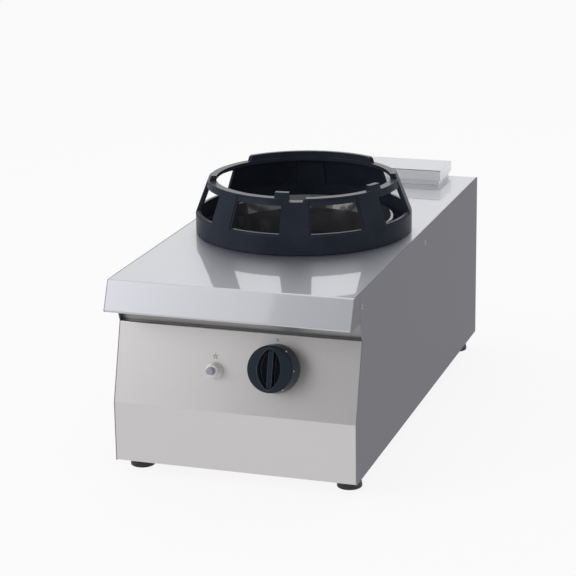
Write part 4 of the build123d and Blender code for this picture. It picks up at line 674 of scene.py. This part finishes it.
# The lighter edge enamel: partly wear from pans, partly a painted highlight of the light on edges and tops.
ring_rub_and_highlight = moulded_finish(
    "ring_rubbed_edge_and_highlight",
    (500.0, 0.00008),
    (0.038, 0.041, 0.050, 1),
    (0.095, 0.099, 0.112, 1),
    {"Metallic": ("Patches", 0.1, 0.45), "Roughness": ("Pimples", 0.24, 0.36)},
    Specular_IOR_Level=0.25,
    Coat_Weight=0.08,
    Coat_Roughness=0.2,
)
worktop_top = 0.324
sill_height = 0.034
ring_edge = 0.0013
ring_crease = math.radians(26)
facing_up = 0.8
wok_ring = working_copy("wok_ring")
coat_piece(wok_ring, ring_enamel, ring_rub_and_highlight)
break_edges(wok_ring, ring_edge, 3, ring_crease, rim=1)
# Up-facing tops of the rim, lugs and sills get the lighter enamel as well, partly wear and partly a painted
# highlight where light grazes them.
for face in wok_ring.data.polygons:
    if face.normal.z > facing_up and face.center.z > worktop_top + sill_height:
        face.material_index = 1
stand_for(wok_ring, "wok_ring")


# ---------------------------------------------------------------- tap knob
# A deep black gloss moulding with a pointed oval hollow and an upright blade to grip. It pushes
# in and turns; three white marks on its side show off, high and low.
panel_top = Vector((0, -0.358, 0.245))
panel_down = Vector((0, -0.27675, -0.96094))
panel_normal = Vector((0, -0.96094, 0.27675))
knob_x = 0.066
knob_along = 0.054


def on_panel(x, along):
    """The place on the panel so far down from its top edge, its Z outwards and its Y up."""
    origin = panel_top + Vector((x, 0, 0)) + panel_down * along
    axes = Matrix(((1, 0, 0), -panel_down, panel_normal)).transposed().to_4x4()
    return Matrix.Translation(origin) @ axes


knob_pimples = (260.0, 0.00002)
knob_black = moulded_finish(
    "knob_black",
    knob_pimples,
    (0.018, 0.026, 0.037, 1),
    (0.028, 0.038, 0.052, 1),
    {"Roughness": ("Patches", 0.16, 0.26)},
    Specular_IOR_Level=0.02,
    Coat_Weight=0.06,
    Coat_Roughness=0.12,
)
# The rounded edges of the hollow and the blade get a lighter, glossier black: a painted highlight along
# them.
knob_edge_highlight = moulded_finish(
    "knob_painted_highlight_edge",
    knob_pimples,
    (0.045, 0.062, 0.075, 1),
    (0.075, 0.098, 0.115, 1),
    {"Roughness": ("Patches", 0.12, 0.22)},
    Specular_IOR_Level=0.9,
    Coat_Weight=1.0,
    Coat_Roughness=0.08,
)
knob_rim = 0.0012
knob = working_copy("knob")
coat_piece(knob, knob_black, knob_edge_highlight)
break_edges(knob, knob_rim, 3, rim=1)
stand_for(knob, "knob")
repaint(knob_black, "igniter_body")

mark_paint = clouded_finish(
    "white_mark", 300.0, (0.84, 0.85, 0.86, 1), (0.94, 0.94, 0.94, 1), Roughness=0.4
)
mark_radius = 0.0374
mark_height = 0.0310
mark_angles = (39, 90, 144)
mark_lengths = (0.0046, 0.0030, 0.0024)
mark_width = 0.0024
mark_thickness = 0.0008
mark_edge = 0.0004
for angle, length, label in zip(mark_angles, mark_lengths, ("off", "high", "low")):
    mark = box_piece((mark_width, mark_thickness, length), (0, 0, 0))
    break_edges(mark, mark_edge, 3)
    around = Matrix.Rotation(math.radians(-angle), 4, "Z")
    settle(mark, on_panel(knob_x, knob_along) @ around @ Matrix.Translation((0, mark_radius, mark_height)))
    mark.name = "knob_mark_" + label
    coat_piece(mark, mark_paint)
    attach(mark, "turner")


# ---------------------------------------------------------------- igniter
# A push button in a pale moulded collar, clamped through the panel by a nut behind it. The
# button is silvery plastic and clicks in to make the spark.
fine_pimples = (500.0, 0.00002)
pale_plastic = moulded_finish(
    "pale_collar",
    fine_pimples,
    (0.76, 0.735, 0.72, 1),
    (0.86, 0.84, 0.82, 1),
    {},
    Roughness=0.32,
    Coat_Weight=0.3,
    Coat_Roughness=0.1,
)
button_plastic = moulded_finish(
    "silvery_button",
    fine_pimples,
    (0.28, 0.30, 0.36, 1),
    (0.40, 0.42, 0.47, 1),
    {},
    Metallic=0.35,
    Roughness=0.3,
)
for node, material, edge in (
    ("igniter_bezel", pale_plastic, 0.0006),
    ("igniter_button", button_plastic, 0.0004),
):
    moulding = working_copy(node)
    break_edges(moulding, edge, 3)
    coat_piece(moulding, material)
    stand_for(moulding, node)


# ---------------------------------------------------------------- printed marks
# Printed on the panel: the dot that the knob's marks turn to, in a dark ring, and a small star
# of strokes above the igniter for the spark.
print_dark = clouded_finish(
    "printed_dark", 400.0, (0.03, 0.03, 0.034, 1), (0.06, 0.06, 0.065, 1), Roughness=0.45
)
print_thickness = 0.00012
dot_x = 0.0645
dot_along = 0.010
dot_radius = 0.0013
dot_ring_radius = 0.0021
star_x = -0.035
star_along = 0.0435
star_rays = 5
ray_length = 0.0034
ray_width = 0.0011
ray_start = 0.0012

dot_ring = round_piece(dot_ring_radius, print_thickness, 0)
cut_with(dot_ring, round_piece(dot_radius, 4 * print_thickness, -print_thickness))
settle(dot_ring, on_panel(dot_x, dot_along))
dot_ring.name = "knob_dot_ring"
coat_piece(dot_ring, print_dark)
dot = round_piece(dot_radius, print_thickness, 0)
soften_rim(dot, print_thickness, print_thickness / 3, 1)
settle(dot, on_panel(dot_x, dot_along))
dot.name = "knob_dot"
coat_piece(dot, mark_paint)
ray_size = (ray_width, ray_length, print_thickness)
ray_middle = (0, ray_start + ray_length / 2, print_thickness / 2)
rays = []
for index in range(star_rays):
    ray = box_piece(ray_size, ray_middle)
    soften_rim(ray, print_thickness, print_thickness / 3, 1)
    around = Matrix.Rotation(2 * math.pi * index / star_rays, 4, "Z")
    settle(ray, on_panel(star_x, star_along) @ around)
    rays.append(ray)
star = join("spark_star", *rays)
coat_piece(star, print_dark)
for printed in (dot_ring, dot, star):
    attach(printed, "casing")


# ---------------------------------------------------------------- room
# A plain pale floor with soft studio light: a wide lamp at the left in front, a fill from above and
# behind, a pale surround that dims to the right, and a grey card by the camera that the steel mirrors.
floor_size = 14.0
floor_whiteness = 0.88


def seen_by_camera(tree):
    """A mask that is 1 for what the camera sees, directly, mirrored or through glass."""
    ray = add_node(tree, "LightPath").outputs
    seen = add_node(tree, "Math", {0: ray["Is Camera Ray"], 1: ray["Is Glossy Ray"]}, operation="MAXIMUM")
    seen = add_node(tree, "Math", {0: seen.outputs[0], 1: ray["Is Transmission Ray"]}, operation="MAXIMUM")
    return seen.outputs[0]


bpy.ops.object.select_all(action="DESELECT")
bpy.ops.mesh.primitive_plane_add(size=floor_size, location=(0, 0, 0))
floor = bpy.context.object
floor.name = "floor"
floor_material = bpy.data.materials.new("pale_floor")
floor_material.use_nodes = True
tree = floor_material.node_tree
tree.nodes.clear()
lit_floor = add_node(tree, "BsdfDiffuse", {"Color": (0.80, 0.80, 0.80, 1)})
white_floor = add_node(tree, "Emission", {"Color": (1, 1, 1, 1), "Strength": 1.0})
share = add_node(tree, "Math", {0: seen_by_camera(tree), 1: floor_whiteness}, operation="MULTIPLY")
mixed_floor = add_node(
    tree, "MixShader", {0: share.outputs[0], 1: lit_floor.outputs[0], 2: white_floor.outputs[0]}
)
add_node(tree, "OutputMaterial", {"Surface": mixed_floor.outputs[0]})
floor.data.materials.append(floor_material)

card_width = 1.3
card_height = 2.1
card_place = (-0.25, -3.0, 1.25)
bpy.ops.object.select_all(action="DESELECT")
bpy.ops.mesh.primitive_plane_add(size=1, location=card_place, rotation=(math.radians(90), 0, 0))
grey_card = bpy.context.object
grey_card.scale = (card_width, card_height, 1)
grey_card.name = "grey_card"
grey_card.visible_camera = False
card_material = bpy.data.materials.new("grey_card")
card_material.use_nodes = True
card_surface = card_material.node_tree.nodes["Principled BSDF"]
card_surface.inputs["Base Color"].default_value = (0.12, 0.12, 0.12, 1)
grey_card.data.materials.append(card_material)

left_level = 0.95
right_level = 0.50
dimming_reach = 0.55
world = bpy.data.worlds.new("pale_surround")
bpy.context.scene.world = world
world.use_nodes = True
tree = world.node_tree
tree.nodes.clear()
direction = add_node(tree, "TexCoord")
sideways = add_node(tree, "SeparateXYZ", {"Vector": direction.outputs["Generated"]}).outputs["X"]
dimming = add_node(
    tree,
    "MapRange",
    {
        "Value": sideways,
        "From Min": -dimming_reach,
        "From Max": dimming_reach,
        "To Min": left_level,
        "To Max": right_level,
    },
).outputs["Result"]
level = between(tree, seen_by_camera(tree), dimming, 1.0)
surround = add_node(tree, "Background", {"Color": (1, 1, 1, 1), "Strength": level})
add_node(tree, "OutputWorld", {"Surface": surround.outputs[0]})


def soft_lamp(name, place, target, size, power):
    """A square soft lamp that faces a target."""
    light = bpy.data.lights.new(name, "AREA")
    light.shape = "SQUARE"
    light.size = size
    light.energy = power
    lamp = bpy.data.objects.new(name, light)
    lamp.location = place
    lamp.rotation_euler = (Vector(target) - Vector(place)).to_track_quat("-Z", "Y").to_euler()
    bpy.context.scene.collection.objects.link(lamp)


soft_lamp("key_lamp", (-1.35, -1.5, 1.1), (0, -0.3, 0.2), 1.0, 8)
soft_lamp("top_lamp", (0.35, 0.9, 2.2), (0, 0.2, 0.3), 2.0, 8)


# ---------------------------------------------------------------- camera
# It stands far off, in front and to the right, and looks down on the range through a long lens.
# A small roll gives the picture's slight tilt.
camera_place = Vector((0.99672, -3.12907, 1.17778))
camera_yaw = 0.319
camera_pitch = -0.286
camera_roll = -0.015
camera_lens = 124.26
sensor = 36.0
forward = Vector((
    -math.sin(camera_yaw) * math.cos(camera_pitch),
    math.cos(camera_yaw) * math.cos(camera_pitch),
    math.sin(camera_pitch),
))
level_right = forward.cross(Vector((0, 0, 1))).normalized()
level_up = level_right.cross(forward)
right = level_right * math.cos(camera_roll) + level_up * math.sin(camera_roll)
up = level_up * math.cos(camera_roll) - level_right * math.sin(camera_roll)
lens = bpy.data.cameras.new("camera")
lens.lens = camera_lens
lens.sensor_width = sensor
lens.clip_start = 0.1
lens.clip_end = 60
camera = bpy.data.objects.new("camera", lens)
camera.matrix_world = Matrix.Translation(camera_place) @ Matrix((right, up, -forward)).transposed().to_4x4()
bpy.context.scene.collection.objects.link(camera)
bpy.context.scene.camera = camera
bpy.context.scene.view_settings.view_transform = "Standard"
